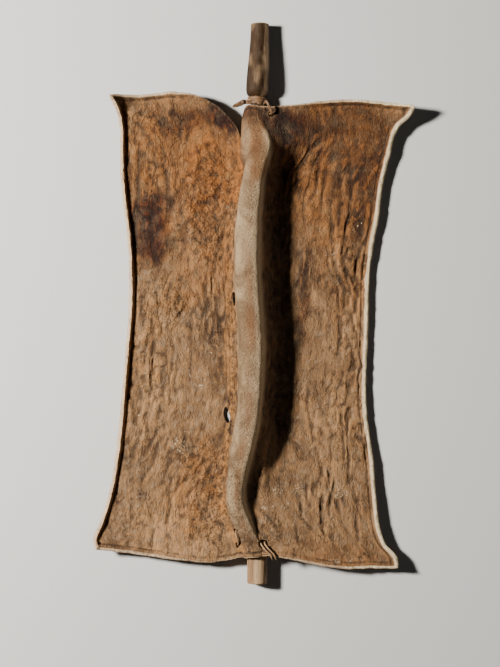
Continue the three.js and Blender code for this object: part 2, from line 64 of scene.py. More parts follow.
def add_camera():
    tall = PHOTO_HEIGHT * METRES_PER_PIXEL
    data = bpy.data.cameras.new("camera")
    data.lens = LENS * 1000
    data.sensor_fit = "VERTICAL"
    data.sensor_height = SENSOR * 1000
    camera = bpy.data.objects.new("camera", data)
    camera.location = (*PHOTO_CENTRE_OFFSET, tall * LENS / SENSOR + SHEET_LEVEL)
    bpy.context.collection.objects.link(camera)
    bpy.context.scene.camera = camera
    print("camera height", round(camera.location.z, 3), "m")


add_camera()

# %% [markdown]
# The sheet is worked out from the same shares and sizes as the construction, so that the fine
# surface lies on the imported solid. First come the helpers: a smooth curve through a few stations,
# a rounded maximum, and a ramp with a soft start.

# %% Curve helpers
MM = 0.001
SOFT_SAMPLE = 4


def through(stations):
    places, values = (np.array(v, float) for v in zip(*stations))
    slopes = np.empty(len(places))
    slopes[1:-1] = (values[2:] - values[:-2]) / (places[2:] - places[:-2])
    slopes[0] = (values[1] - values[0]) / (places[1] - places[0])
    slopes[-1] = (values[-1] - values[-2]) / (places[-1] - places[-2])

    def curve(x):
        at = np.clip(x, places[0], places[-1])
        i = np.clip(np.searchsorted(places, at, side="right") - 1, 0, len(places) - 2)
        span = places[i + 1] - places[i]
        t = (at - places[i]) / span
        rise = t * t * (3 - 2 * t)
        enter = t * (1 - t) ** 2 * span * slopes[i]
        leave = t * t * (t - 1) * span * slopes[i + 1]
        return values[i] + (values[i + 1] - values[i]) * rise + enter + leave

    return curve


def smoothstep(x, low, high):
    t = np.clip((x - low) / (high - low), 0, 1)
    return t * t * (3 - 2 * t)


def lerp(a, b, t):
    return a + (b - a) * t


def smooth_max(a, b, soft):
    return 0.5 * (a + b + np.sqrt((a - b) ** 2 + soft * soft))


def soft_ramp(x, soft):
    return 0.5 * (x + np.sqrt(x * x + soft * soft))


print("a soft ramp at its bend:", soft_ramp(0.0, SOFT_SAMPLE))


# %% [markdown]
# The sizes of the sheet and the stave, in millimetres as in the construction. The stave's foot
# mount gives the place of its centre line, and so how far the whole model was shifted across.

# %% Sizes
STAVE_LENGTH = 894
STAVE_DIAMETER = 32
SHOULDER_DIAMETER = 37
SHOULDER_RUN = 14
TIP_DIAMETER = 29
GRIP_DIAMETER = 25
TOP_NECK_DEPTH = 4.4
TOP_NECK_LENGTH = 28
BOTTOM_NECK_DEPTH = 5.2
BOTTOM_NECK_LENGTH = 34
NECK_SHOULDER = 6
BACK_FLAT = 8
STAVE_BOW = 8
STAVE_X = 5
TIP_LEAN = 4.6

HIDE_LENGTH = 730
BOTTOM_OVERHANG = 42
HIDE_WIDTH = 508
WAIST_WIDTH = 376
WAIST_SHIFT = -10
HIDE_THICKNESS = 5.5
RIM_RISE = 8
RIM_RUN = 5.5
FOLD_IN = 7
CORNER_REACH = 46
END_ROLL_RUN = 26
END_WANDER = 10
PANEL_BOW = 9

RIDGE_WIDTH = 37
FINGER_DEPTH = 34.5
RIDGE_SWAY = 27
WALL_TUCK = 3
WALL_DROP = 8
FLANK_RUN = 14
FOOT_TURN = 8
FOOT_RISE = 4
SPREAD_RUN = 24
RAMP_RUN = 45
HUMP_RUN = 9
HUMP_SPREAD = 24
SOFT_JOIN = 4
BELOW_GROUND = 40
FIT_GAP = 0.6

HALF = HIDE_THICKNESS / 2
CREST_HEIGHT = GRIP_DIAMETER + FINGER_DEPTH + HALF
CLEARANCE = HALF + FIT_GAP
STAVE_FOOT = -STAVE_LENGTH / 2
HIDE_FOOT = STAVE_FOOT + BOTTOM_OVERHANG

mounts = {mount["name"]: mount for mount in frame["record"]["mounts"]}
SHIFT_X = mounts["stave_foot"]["pos_m"][0] / MM - STAVE_X
print("model shifted across by", round(SHIFT_X, 3), "mm")

# %% [markdown]
# Shares along the hide, from its foot at 0 to its top at 1, read off the photograph: how far each
# side edge flares from the waist, how the ridge winds and widens, how high its crest stands, and
# how far the stave is thinned for the grip.

# %% Stations read off the photograph
left_flare = through([
    (0, 0.93), (0.02, 1), (0.06, 0.8), (0.13, 0.54), (0.2, 0.39), (0.3, 0.25), (0.43, 0.11),
    (0.56, 0), (0.68, 0.04), (0.76, 0.16), (0.84, 0.25), (0.93, 0.25), (0.97, 0.33), (1, 0.52),
])
right_flare = through([
    (0, 0.66), (0.02, 0.64), (0.05, 0.4), (0.1, 0.26), (0.23, 0.15), (0.36, 0), (0.5, 0.04),
    (0.63, 0.07), (0.7, 0.15), (0.76, 0.26), (0.84, 0.36), (0.9, 0.5), (0.96, 0.67),
    (0.982, 0.9), (1, 1),
])
ridge_wind = through([
    (0, 0.04), (0.026, -0.04), (0.05, -0.36), (0.08, -0.66), (0.113, -0.96), (0.155, -1.03),
    (0.214, -0.81), (0.264, -0.56), (0.332, -0.28), (0.39, -0.17), (0.46, -0.12), (0.55, -0.24),
    (0.65, -0.38), (0.705, -0.36), (0.77, -0.29), (0.836, -0.11), (0.87, 0.06), (0.9, 0.2),
    (0.93, 0.18), (0.957, -0.1), (1, -0.28),
])
ridge_share = through([
    (0, 0.62), (0.045, 0.66), (0.08, 0.74), (0.113, 0.7), (0.164, 0.74), (0.214, 0.9), (0.264, 1),
    (0.9, 1), (0.957, 0.84), (1, 0.6),
])
crest_share = through([
    (0, 0.62), (0.03, 0.67), (0.07, 0.84), (0.1, 0.95), (0.14, 1), (0.86, 1), (0.94, 0.92),
    (1, 0.76),
])
grip_share = through([
    (0, 0), (0.14, 0), (0.3, 0.6), (0.42, 1), (0.72, 1), (0.84, 0.6), (0.93, 0), (1, 0),
])
TOP_NECK = (HIDE_FOOT + 0.985 * HIDE_LENGTH, TOP_NECK_DEPTH, TOP_NECK_LENGTH)
BOTTOM_NECK = (HIDE_FOOT + 0.042 * HIDE_LENGTH, BOTTOM_NECK_DEPTH, BOTTOM_NECK_LENGTH)

# %% [markdown]
# From these come the outline, the ridge and the stave under it, at any place along the hide.

# %% Outline, ridge and stave
def along_hide(s):
    return HIDE_FOOT + s * HIDE_LENGTH


def left_edge(s):
    return lerp(-WAIST_WIDTH / 2 + WAIST_SHIFT, -HIDE_WIDTH / 2, left_flare(s))


def right_edge(s):
    return lerp(WAIST_WIDTH / 2 + WAIST_SHIFT, HIDE_WIDTH / 2, right_flare(s))


def ridge_x(s):
    return RIDGE_SWAY * ridge_wind(s)


def ridge_half(s):
    return RIDGE_WIDTH * ridge_share(s) / 2


def stave_x(y):
    lean = TIP_LEAN * smoothstep(y, TOP_NECK[0], STAVE_LENGTH / 2)
    return STAVE_X - STAVE_BOW * grip_share((y - HIDE_FOOT) / HIDE_LENGTH) + lean


def stave_width(y):
    beyond = y - TOP_NECK[0] - TOP_NECK[2] / 2
    held = lerp(STAVE_DIAMETER, GRIP_DIAMETER, grip_share((y - HIDE_FOOT) / HIDE_LENGTH))
    swell = lerp(STAVE_DIAMETER, SHOULDER_DIAMETER, smoothstep(beyond, 0, SHOULDER_RUN))
    taper = smoothstep(y, TOP_NECK[0] + TOP_NECK[2], STAVE_LENGTH / 2)
    return np.where(beyond <= 0, held, lerp(swell, TIP_DIAMETER, taper))


def stave_radius(y):
    cut = 0
    for neck_y, depth, length in (TOP_NECK, BOTTOM_NECK):
        beyond = abs(y - neck_y) - length / 2
        cut = cut + depth * (1 - smoothstep(beyond, 0, NECK_SHOULDER))
    return stave_width(y) / 2 - cut


def stave_axis_z(y):
    return np.sqrt((stave_width(y) / 2) ** 2 - (BACK_FLAT / 2) ** 2)


def tied(s):
    return 1 - smoothstep(s, 0.02, 0.31) + smoothstep(s, 0.84, 1)


def spread_over(s):
    return 1 - smoothstep(s, 0.17, 0.31)


def widened(s):
    return 1 - smoothstep(s, 0.03, 0.17) + smoothstep(s, 0.84, 1)


def ramped(s):
    return smoothstep(s, 0.84, 0.92)


def cover_height(x, y, s):
    radius = stave_width(y) / 2
    top = stave_axis_z(y) + radius + CLEARANCE
    spread = radius + CLEARANCE + HUMP_RUN + HUMP_SPREAD * widened(s)
    return lerp(-BELOW_GROUND, top, np.exp(-(((x - stave_x(y)) / spread) ** 4)))


for place, share in (("foot", 0.0), ("middle", 0.5), ("top", 1.0)):
    print("hide's width at its", place, round(float(right_edge(share) - left_edge(share))), "mm")


# %% [markdown]
# A cross-section of the sheet is a quadratic spline over nineteen control columns. Each column
# says where it is across, how high the sheet's middle is there, where its two ends lie, and how
# much of the turned-up end lip it has.

# %% Control columns
def bow(s):
    return PANEL_BOW * (2 * s - 1) ** 2


def belly(s):
    return HALF + bow(s)


def lifted(share):
    return lambda s: belly(s) + share * STAVE_DIAMETER * tied(s)


def left_foot_height(s):
    return lifted(0.5)(s) + FOOT_RISE


def right_foot_height(s):
    return lifted(0.62)(s) + FOOT_RISE * (1 + widened(s))


def crest(s):
    return CREST_HEIGHT * crest_share(s)


def wall(s):
    return np.minimum(STAVE_DIAMETER + HALF + FIT_GAP, crest(s) - WALL_DROP)


def rim_top(s):
    return lifted(0.1)(s) + RIM_RISE


def left_fold(s):
    return left_edge(s) + RIM_RUN


def right_fold(s):
    return right_edge(s) - RIM_RUN


def between(start, end, share):
    return lambda s: lerp(start(s), end(s), share)


# %% Crest, walls and feet of the ridge
def crest_left(s):
    return ridge_x(s) - ridge_half(s) + WALL_TUCK


def crest_right(s):
    return ridge_x(s) + ridge_half(s) - WALL_TUCK


def left_wall(s):
    return ridge_x(s) - ridge_half(s)


def left_foot(s):
    return left_wall(s) - FLANK_RUN * (1 - 0.72 * smoothstep(s, 0.88, 0.98))


def beside_stave(s):
    y = along_hide(s)
    return stave_x(y) + stave_width(y) / 2 + CLEARANCE


def steep_wall(s):
    over = beside_stave(s) - 2 * CLEARANCE - STAVE_DIAMETER * spread_over(s)
    return np.maximum(crest_right(s) + WALL_TUCK, over)


def steep_foot(s):
    return lerp(steep_wall(s) + FLANK_RUN, beside_stave(s) + SPREAD_RUN, spread_over(s))


def right_foot(s):
    return lerp(steep_foot(s), beside_stave(s) + RAMP_RUN, ramped(s))


def right_wall(s):
    return lerp(steep_wall(s), between(crest_right, right_foot, 0.22)(s), ramped(s))


def right_wall_height(s):
    return lerp(wall(s), between(crest, right_foot_height, 0.42)(s), ramped(s))


# %% Columns
COLUMNS = [
    (left_edge, rim_top, 0.2, 1.5, 1),
    (left_fold, lifted(0.1), 0.3, 1.5, 1),
    (lambda s: left_fold(s) + FOLD_IN, lifted(0.12), 0.4, 1.4, 1),
    (between(left_fold, left_foot, 0.25), lifted(0.2), 0.5, 0.8, 1),
    (between(left_fold, left_foot, 0.5), lifted(0.36), 1.2, 0, 1),
    (between(left_fold, left_foot, 0.76), lifted(0.46), 0.1, -0.8, 0.2),
    (lambda s: left_foot(s) - FOOT_TURN, lifted(0.5), -3.8, -0.2, -0.5),
    (left_foot, left_foot_height, -5.6, 0.3, -0.7),
    (left_wall, wall, -7, 0.2, -0.4),
    (crest_left, crest, -1.3, 0.3, 0),
    (crest_right, crest, -1.4, 0.4, 0),
    (right_wall, right_wall_height, -1.6, 0.6, 0),
    (right_foot, right_foot_height, -1.2, 0.3, 0.4),
    (between(right_foot, right_fold, 0.2), lifted(0.6), -0.6, -0.5, 1),
    (between(right_foot, right_fold, 0.5), lifted(0.4), -0.2, -1.6, 1),
    (between(right_foot, right_fold, 0.8), lifted(0.2), -0.7, -1.5, 1),
    (lambda s: right_fold(s) - FOLD_IN, lifted(0.12), -1.1, -1.5, 1),
    (right_fold, lifted(0.1), -1.2, -1.5, 1),
    (right_edge, rim_top, -1.5, -1.5, 1),
]
CORNER_CURLS = [
    (left_edge, 1, 0.65), (right_edge, 1, 0.4), (left_edge, 0, 0.26), (right_edge, 0, 0.13),
]
print(len(COLUMNS), "control columns and", len(CORNER_CURLS), "curled corners")


# %% [markdown]
# A column's weight at a place across is the spline's own share, with the two outer columns
# doubled so that the sheet ends on them. The stave underneath lifts the sheet where it is tied,
# the ends turn up in a soft lip, and each corner curls.

# %% Points of the sheet
def column_weights(u):
    last = len(COLUMNS) - 1
    span = np.clip(np.floor(u).astype(int), 1, last - 1)
    t = u - span
    weights = np.zeros((len(u), len(COLUMNS)))
    rows = np.arange(len(u))
    for step, share in ((-1, 0.5 * (1 - t) ** 2), (0, 0.5 + t * (1 - t)), (1, 0.5 * t * t)):
        column = span + step
        inner = (column > 0) & (column < last)
        weights[rows[inner], column[inner]] += share[inner]
        for end, beside in ((0, 1), (last, last - 1)):
            at = column == end
            weights[rows[at], end] += 2 * share[at]
            weights[rows[at], beside] -= share[at]
    return weights


def sheet_points(u, s):
    weights = column_weights(u)
    x = sum(weights[:, i] * c[0](s) for i, c in enumerate(COLUMNS))
    z = sum(weights[:, i] * c[1](s) for i, c in enumerate(COLUMNS))
    fixed = np.array([c[2:] for c in COLUMNS], float)
    top, bottom, lip = (weights @ fixed).T
    top_y = along_hide(1) + END_WANDER * top
    bottom_y = along_hide(0) + END_WANDER * bottom
    y = lerp(bottom_y, top_y, s)
    z = smooth_max(z, cover_height(x, y, s), SOFT_JOIN * (1 + tied(s)))
    run = np.where(lip > 0, lerp(END_ROLL_RUN, RIM_RUN, lip), END_ROLL_RUN)
    on_rim = np.clip(weights[:, 0] + weights[:, -1], 0, 1)
    from_end = np.where(lip > 0, np.minimum(top_y - y, y - bottom_y), top_y - y)
    z = z + RIM_RISE * lip * (1 - on_rim) * soft_ramp(run - from_end, SOFT_JOIN / 2) / run
    for edge, end, rise in CORNER_CURLS:
        end_y = top_y if end == 1 else bottom_y
        away = np.hypot(x - edge(float(end)), y - end_y) / CORNER_REACH
        z = z + rise * CORNER_REACH * np.exp(-2.5 * away ** 1.5)
    return np.stack([x, y, z], axis=-1)


across_middle = sheet_points(np.linspace(1, len(COLUMNS) - 2, 200), np.full(200, 0.5))
print("ridge's height halfway up", round(float(across_middle[:, 2].max()), 1), "mm")


# %% [markdown]
# The fine surface is one grid of cells, about one and a half photo pixels wide. Wrinkles in the
# hide run mostly along it, so the cells are narrow across and longer along: that puts the detail
# where the relief changes fastest. Rows lie closer together at the turned-up ends. The sheet could
# be sculpted by hand instead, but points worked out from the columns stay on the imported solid.

# %% Grid of the sheet
CELL_ACROSS = 2.3
CELL_ALONG = 4.2
LIP_ROWS = 8
LIP_ROW_STEP = 2.0


def grid_places():
    last = len(COLUMNS) - 1
    places = []
    for span in range(1, last):
        points = sheet_points(span + np.linspace(0, 0.9999, 9), np.full(9, 0.5))
        length = np.linalg.norm(np.diff(points, axis=0), axis=1).sum()
        count = max(2, round(length / CELL_ACROSS))
        places.append(span + np.arange(count) / count)
    across = np.concatenate([*places, [last - 1e-9]])
    lip = np.arange(LIP_ROWS) * LIP_ROW_STEP / HIDE_LENGTH
    lip_end = LIP_ROWS * LIP_ROW_STEP / HIDE_LENGTH
    count = round((1 - 2 * lip_end) * HIDE_LENGTH / CELL_ALONG)
    inner = np.linspace(lip_end, 1 - lip_end, count + 1)
    return across, np.concatenate([lip, inner, 1 - lip[::-1]])


across_places, along_places = grid_places()
print("hide grid", len(across_places), "by", len(along_places))

# %% [markdown]
# Relief needs noise that is the same on every run. A table of seeded random numbers, blended
# smoothly between its entries, is enough, and a few octaves of it give rough natural forms.

# %% Seeded noise
TABLE_SIZE = 64


def noise(x, y, seed):
    table = np.random.default_rng(seed).uniform(-1, 1, (TABLE_SIZE, TABLE_SIZE))
    i, j = np.floor(x).astype(int), np.floor(y).astype(int)
    fx, fy = x - i, y - j
    wx, wy = (f * f * f * (f * (f * 6 - 15) + 10) for f in (fx, fy))
    at = [[table[(i + a) % TABLE_SIZE, (j + b) % TABLE_SIZE] for b in (0, 1)] for a in (0, 1)]
    return lerp(lerp(at[0][0], at[1][0], wx), lerp(at[0][1], at[1][1], wx), wy)


def rough(x, y, seed, octaves=4):
    return sum(0.5 ** k * noise(x * 2 ** k, y * 2 ** k, seed + k) for k in range(octaves))


print("noise at one place:", round(float(noise(np.array(3.3), np.array(1.7), 5)), 4))


# %% [markdown]
# Where the hide is flaky, wrinkled, dark or pale is read from the photograph as a few soft ovals.
# Each is a place in photo pixels with its two radii and a strength. The dark ovals are partly dark
# patches of the hide and partly painted shadow: the ridge's cast shadow to its right and the shade
# inside the left rim. With the pale ovals they also make the hide darker towards the top and paler
# towards the bottom. The helper turns a photo place into millimetres on the shield.

# %% Zones of the skin
PHOTO_ZERO = (253.5, 303.5)
MM_PER_PIXEL = METRES_PER_PIXEL / MM

FLAKY_ZONES = [
    (206, 205, 32, 60, 1.0), (170, 300, 17, 28, 0.9), (216, 500, 24, 52, 1.0),
    (150, 320, 14, 60, 0.5), (185, 455, 26, 26, 0.6), (140, 520, 20, 30, 0.4),
    (300, 160, 22, 26, 0.5), (345, 260, 8, 26, 0.6), (270, 525, 14, 20, 0.5),
    (150, 118, 40, 12, 0.5),
]
WRINKLED_ZONES = [
    (350, 340, 24, 190, 1.0), (310, 175, 22, 40, 0.9), (150, 165, 30, 60, 0.7),
    (152, 380, 28, 120, 0.7), (205, 300, 20, 70, 0.6), (320, 500, 34, 50, 0.8),
    (180, 500, 40, 50, 0.6),
]
# Dark ovals: dark patches of the hide, and painted shadow beside the ridge and inside the left rim.
DARK_AND_SHADOW_ZONES = [
    (345, 150, 75, 45, 0.42), (147, 228, 26, 34, 0.85), (375, 210, 40, 70, 0.4),
    (290, 130, 30, 30, 0.6), (215, 335, 18, 60, 0.3), (180, 120, 60, 14, 0.5),
    (229, 116, 24, 18, 1.0), (287, 130, 26, 24, 1.0), (303, 300, 8, 56, 0.6),
    (261, 122, 8, 18, 0.9), (263, 160, 4, 34, 0.6), (252, 150, 13, 46, 0.7),
    (251, 116, 14, 14, 1.0), (355, 445, 16, 40, 0.25), (228, 430, 10, 60, 0.3),
]
PALE_ZONES = [
    (185, 525, 48, 40, 0.9), (150, 330, 34, 60, 0.35), (335, 470, 46, 80, 0.35),
    (285, 510, 22, 22, 0.4), (140, 130, 26, 26, 0.3), (345, 240, 26, 30, 0.25),
    (385, 530, 26, 26, 0.3), (190, 370, 26, 60, 0.3),
]
WARM_ZONES = [
    (190, 160, 84, 74, 1.0), (340, 165, 84, 96, 1.0), (205, 250, 36, 60, 0.6),
    (148, 226, 34, 44, 1.0), (345, 260, 36, 60, 0.5), (200, 480, 40, 60, 0.3),
    (340, 560, 60, 24, 0.4),
]
FLECK_ZONES = [
    (297, 490, 7, 6, 1.0), (279, 491, 6, 6, 1.0), (270, 505, 8, 4, 1.0), (287, 505, 4, 4, 1.0),
    (228, 210, 3, 3, 1.0), (336, 284, 4, 4, 1.0), (338, 492, 12, 8, 0.8), (177, 445, 12, 10, 0.9),
    (190, 372, 4, 4, 0.9), (200, 386, 4, 4, 0.9), (330, 252, 8, 3, 0.7), (345, 560, 26, 3, 0.6),
]
ORANGE_ZONES = [
    (205, 190, 30, 70, 0.8), (188, 300, 12, 14, 0.8), (168, 296, 16, 18, 0.9),
    (150, 350, 14, 50, 0.5), (200, 480, 40, 50, 0.7), (230, 300, 8, 160, 0.8),
    (345, 400, 14, 60, 0.3), (150, 500, 16, 30, 0.4),
]


def on_shield(px, py):
    return (px - PHOTO_ZERO[0]) * MM_PER_PIXEL, (PHOTO_ZERO[1] - py) * MM_PER_PIXEL


def zones(x, y, ovals):
    wander_x = 14 * rough(x / 34, y / 34, 301, 3)
    wander_y = 14 * rough(x / 34, y / 34, 311, 3)
    total = np.zeros_like(x)
    for px, py, rx, ry, strength in ovals:
        cx, cy = on_shield(px, py)
        loose = min(1, min(rx, ry) / 20)
        away = np.hypot((x + loose * wander_x - cx) / (rx * MM_PER_PIXEL),
                        (y + loose * wander_y - cy) / (ry * MM_PER_PIXEL))
        total = np.maximum(total, strength * (1 - smoothstep(away, 0.45, 1.25)))
    return total


print("flaky, dark and pale ovals:", len(FLAKY_ZONES), len(DARK_AND_SHADOW_ZONES), len(PALE_ZONES))


# %% [markdown]
# The deep cracks are drawn one by one, because the eye finds them again in the photograph. Each
# is a line of photo places with a width and a depth in millimetres. Pits are short lines.

# %% Named cracks and pits
CRACKS = [
    ([(322, 495), (320, 512), (324, 535)], 1.7, 2.2),
    ([(334, 480), (330, 497), (328, 514)], 1.5, 1.4),
    ([(295, 526), (296, 534), (297, 541)], 1.3, 1.3), ([(356, 500), (357, 512)], 1.6, 1.4),
    ([(347, 248), (344, 264), (348, 283)], 1.9, 1.8),
    ([(356, 258), (358, 290), (355, 320)], 1.6, 1.6), ([(319, 311), (321, 330)], 1.4, 1.1),
    ([(338, 320), (341, 335), (338, 352)], 1.5, 1.5), ([(354, 326), (353, 339)], 1.7, 1.5),
    ([(347, 376), (349, 394)], 1.6, 1.4), ([(308, 390), (308, 412), (313, 440)], 1.6, 1.5),
    ([(288, 440), (296, 444), (304, 452)], 1.1, 0.8), ([(311, 455), (316, 467)], 1.1, 0.9),
    ([(161, 313), (162, 331)], 1.4, 1.2), ([(151, 318), (153, 350), (150, 385)], 1.6, 1.5),
    ([(224, 277), (224, 292)], 1.5, 1.3), ([(215, 297), (217, 317)], 1.4, 1.2),
    ([(162, 147), (165, 158), (162, 168)], 1.3, 1.2), ([(166, 169), (168, 190)], 1.6, 1.5),
    ([(150, 175), (154, 182), (159, 189)], 1.7, 1.7), ([(145, 152), (144, 166)], 1.2, 1.0),
    ([(169, 500), (170, 508), (166, 522)], 2.2, 2.6), ([(155, 528), (151, 545)], 1.6, 1.6),
    ([(134, 488), (126, 496), (118, 503)], 1.2, 1.2),
    ([(201, 479), (193, 488), (185, 496)], 1.3, 1.2),
    ([(206, 508), (212, 519), (223, 525), (220, 539)], 1.8, 1.8),
    ([(212, 527), (208, 541)], 1.6, 1.5), ([(140, 296), (143, 330)], 1.3, 1.0),
    ([(330, 200), (332, 250)], 1.3, 1.0), ([(341, 180), (338, 230)], 1.4, 1.1),
    ([(349, 150), (352, 200)], 1.4, 1.1), ([(318, 152), (316, 190)], 1.4, 1.2),
    ([(352, 350), (350, 372)], 1.5, 1.2), ([(341, 415), (345, 470)], 1.4, 1.2),
    ([(173, 345), (171, 372)], 1.2, 0.9), ([(352, 474), (357, 540)], 1.3, 1.1),
    ([(249, 549), (254, 552)], 1.4, 1.2),
]
PITS = [
    (229.5, 440, 3.2, 2.6), (225, 459, 2.6, 2.2), (226, 466, 2.6, 2.0), (234, 356, 3.0, 2.4),
    (213, 440, 3.0, 1.8), (205, 447, 3.4, 1.6), (233, 268, 2.4, 2.0), (205, 160, 2.6, 1.4),
]


def crack_depth(x, y):
    wobble = 1.2 * rough(x / 7, y / 9, 411, 2)
    depth = np.zeros_like(x)
    for line, width, deep in CRACKS:
        places = [on_shield(*place) for place in line]
        for (x0, y0), (x1, y1) in zip(places, places[1:]):
            span = (x1 - x0) ** 2 + (y1 - y0) ** 2
            t = np.clip(((x - x0) * (x1 - x0) + (y - y0) * (y1 - y0)) / span, 0, 1)
            away = np.hypot(x + wobble - lerp(x0, x1, t), y - lerp(y0, y1, t))
            depth = np.maximum(depth, 1.5 * deep * np.exp(-((away / (1.35 * width)) ** 2)))
    for px, py, radius, deep in PITS:
        cx, cy = on_shield(px, py)
        depth = np.maximum(depth, deep * np.exp(-((np.hypot(x - cx, y - cy) / radius) ** 2)))
    return depth


print(len(CRACKS), "cracks and", len(PITS), "pits")


# %% [markdown]
# Holes go right through the sheet: one for each lashing, two for the stitch, a worn slot and a
# tear beside the ridge. A cell inside a hole's oval is left out, and the corners of its
# neighbours that lie inside are pushed out to the oval, so that the rim of the hole is smooth.

# %% Holes
TOP_HOLE = 9
BOTTOM_HOLE = (16, 14)
STITCH_HOLE = 9
SLOT = (5, 23)
TEAR = (12, 26)
THONG_WIDTH = 4
THONG_THICKNESS = 3
STITCH_X = STAVE_X - STAVE_DIAMETER
TOP_HOLE_PLACE = (STAVE_X + STAVE_DIAMETER / 2 + TOP_HOLE / 2 + 1, 0.963)
BOTTOM_HOLE_PLACE = (STAVE_X + STAVE_DIAMETER / 4 + 1, 0.034)
STITCH_PLACES = [(STITCH_X, 0.062), (STITCH_X + THONG_WIDTH / 2, 0.03)]
SLOT_SHARE = 0.564
TEAR_SHARE = 0.31
TEAR_TURN = 0.2
CELL_INSIDE = 0.9
PUSHED_OUT = (0.55, 1.25)


def hole_list():
    slot_x = float(left_wall(SLOT_SHARE)) - 0.7 * SLOT[0]
    return [
        (*TOP_HOLE_PLACE, TOP_HOLE, TOP_HOLE, 0),
        (*BOTTOM_HOLE_PLACE, *BOTTOM_HOLE, 0),
        *((*place, STITCH_HOLE, STITCH_HOLE, 0) for place in STITCH_PLACES),
        (slot_x, SLOT_SHARE, *SLOT, 0),
        (float(left_foot(TEAR_SHARE)), TEAR_SHARE, *TEAR, TEAR_TURN),
    ]


def oval_place(points, hole):
    x, s, across, along, turn = hole
    dx, dy = points[..., 0] - x, points[..., 1] - along_hide(s)
    a = (dx * math.cos(turn) + dy * math.sin(turn)) / (across / 2)
    b = (-dx * math.sin(turn) + dy * math.cos(turn)) / (along / 2)
    return a, b


def cell_corners(grid):
    return grid[:-1, :-1], grid[:-1, 1:], grid[1:, 1:], grid[1:, :-1]


def cut_holes(u, s):
    points = sheet_points(u.ravel(), s.ravel()).reshape(*u.shape, 3)
    per_u = np.gradient(points[..., 0], axis=1) / np.gradient(u, axis=1)
    per_s = np.gradient(points[..., 1], axis=0) / np.gradient(s, axis=0)
    open_cells = np.zeros((u.shape[0] - 1, u.shape[1] - 1), bool)
    for hole in hole_list():
        across, along, turn = hole[2:]
        a, b = oval_place(points, hole)
        reach = np.hypot(a, b)
        cells = sum(cell_corners(reach)) / 4 < CELL_INSIDE
        open_cells |= cells
        beside_cell = np.zeros(u.shape, bool)
        for corner in cell_corners(beside_cell):
            corner |= cells
        pushed = beside_cell & (reach > PUSHED_OUT[0]) & (reach < PUSHED_OUT[1])
        move = np.where(pushed, 1 / np.maximum(reach, PUSHED_OUT[0]) - 1, 0)
        da, db = a * move * across / 2, b * move * along / 2
        u = u + (da * math.cos(turn) - db * math.sin(turn)) / per_u
        s = s + (da * math.sin(turn) + db * math.cos(turn)) / per_s
    print("cells left out for holes:", int(open_cells.sum()))
    return u, s, open_cells



# %% [markdown]
# Each part of the skin has its own masks: the rubbed ridge, its crumbling left flank, the brown
# stain along its middle and a painted highlight along its right edge come from the ridge's own
# line, and the rest from the ovals above. Distance is counted along the surface, so that relief
# doesn't stretch on walls.

# %% Masks of the skin
RIDGE_FADE = (-9, 1)
STAIN_WIDTH = 0.24
HIGHLIGHT_FROM = 0.62
LEAST_WRINKLED = 0.3


def arc_across(points):
    x = points[..., 0]
    steps = np.hypot(np.diff(x, axis=1), np.diff(points[..., 2], axis=1))
    arc = np.concatenate([np.zeros((len(x), 1)), np.cumsum(steps, axis=1)], axis=1)
    centre = np.abs(x[len(x) // 2] - float(ridge_x(0.5))).argmin()
    return arc - arc[:, centre:centre + 1]


def skin(s, points):
    x, y = points[..., 0], points[..., 1]
    start, end = crest_left(s), crest_right(s)
    inside_ridge = smoothstep(np.minimum(x - start, end - x), *RIDGE_FADE)
    inside_ridge = inside_ridge * smoothstep(s, 0.01, 0.06)
    flank = smoothstep(x, left_foot(s) - 6, left_foot(s) + 3) * smoothstep(left_wall(s) - x, -2, 3)
    crumbling = 0.9 * flank * smoothstep(s, 0.12, 0.3) * (1 - smoothstep(s, 0.85, 0.95))
    handled = smoothstep(s, 0.02, 0.1) * (1 - 0.8 * smoothstep(s, 0.92, 0.98))
    from_middle = (x - start) / (end - start) - 0.5
    stain = np.exp(-((from_middle / STAIN_WIDTH) ** 2))
    stain = stain * (0.65 + 0.6 * rough(x / 18, y / 50, 611, 3))
    return {
        "flaky": np.maximum(zones(x, y, FLAKY_ZONES), crumbling),
        "wrinkled": np.maximum(zones(x, y, WRINKLED_ZONES), LEAST_WRINKLED),
        "tone_and_shade": zones(x, y, PALE_ZONES) - zones(x, y, DARK_AND_SHADOW_ZONES),
        "orange": zones(x, y, ORANGE_ZONES),
        "warm": zones(x, y, WARM_ZONES),
        "fleck": zones(x, y, FLECK_ZONES),
        "ridge": inside_ridge * (1 - 0.9 * flank) * handled,
        "flank": flank * (1 - inside_ridge),
        "stain": np.clip(inside_ridge * stain, 0, 1),
        # Painted highlight along the right edge of the ridge.
        "ridge_highlight": inside_ridge * smoothstep(x, lerp(start, end, HIGHLIGHT_FROM), end + 1),
    }


# %% [markdown]
# Now the relief itself, in millimetres along the surface: slow waves, long drying wrinkles, plates
# where the outer skin has flaked away, and the named cracks. The ridge is rubbed smooth by hands,
# so it takes little of it. A wrinkle's row holds its width, its length, its depth and its seed.

# %% Relief
WRINKLES = [(26, 110, 2.6, 31), (16, 58, 2.4, 41), (11, 30, 2.0, 51)]


def wrinkle_height(arc, y, bend):
    height = np.zeros_like(arc)
    for wide, tall, deep, seed in WRINKLES:
        line = np.abs(rough((arc + bend) / wide, y / tall, seed, 2))
        groove = np.clip(1 - line / 0.36, 0, 1) ** 1.2
        shoulder = np.clip(1 - abs(line - 0.5) / 0.3, 0, 1)
        broken = smoothstep(noise(arc / (1.7 * wide) + 7, y / (0.8 * tall), seed + 5), -0.55, 0.1)
        height += deep * broken * (0.4 * shoulder - groove)
    return height


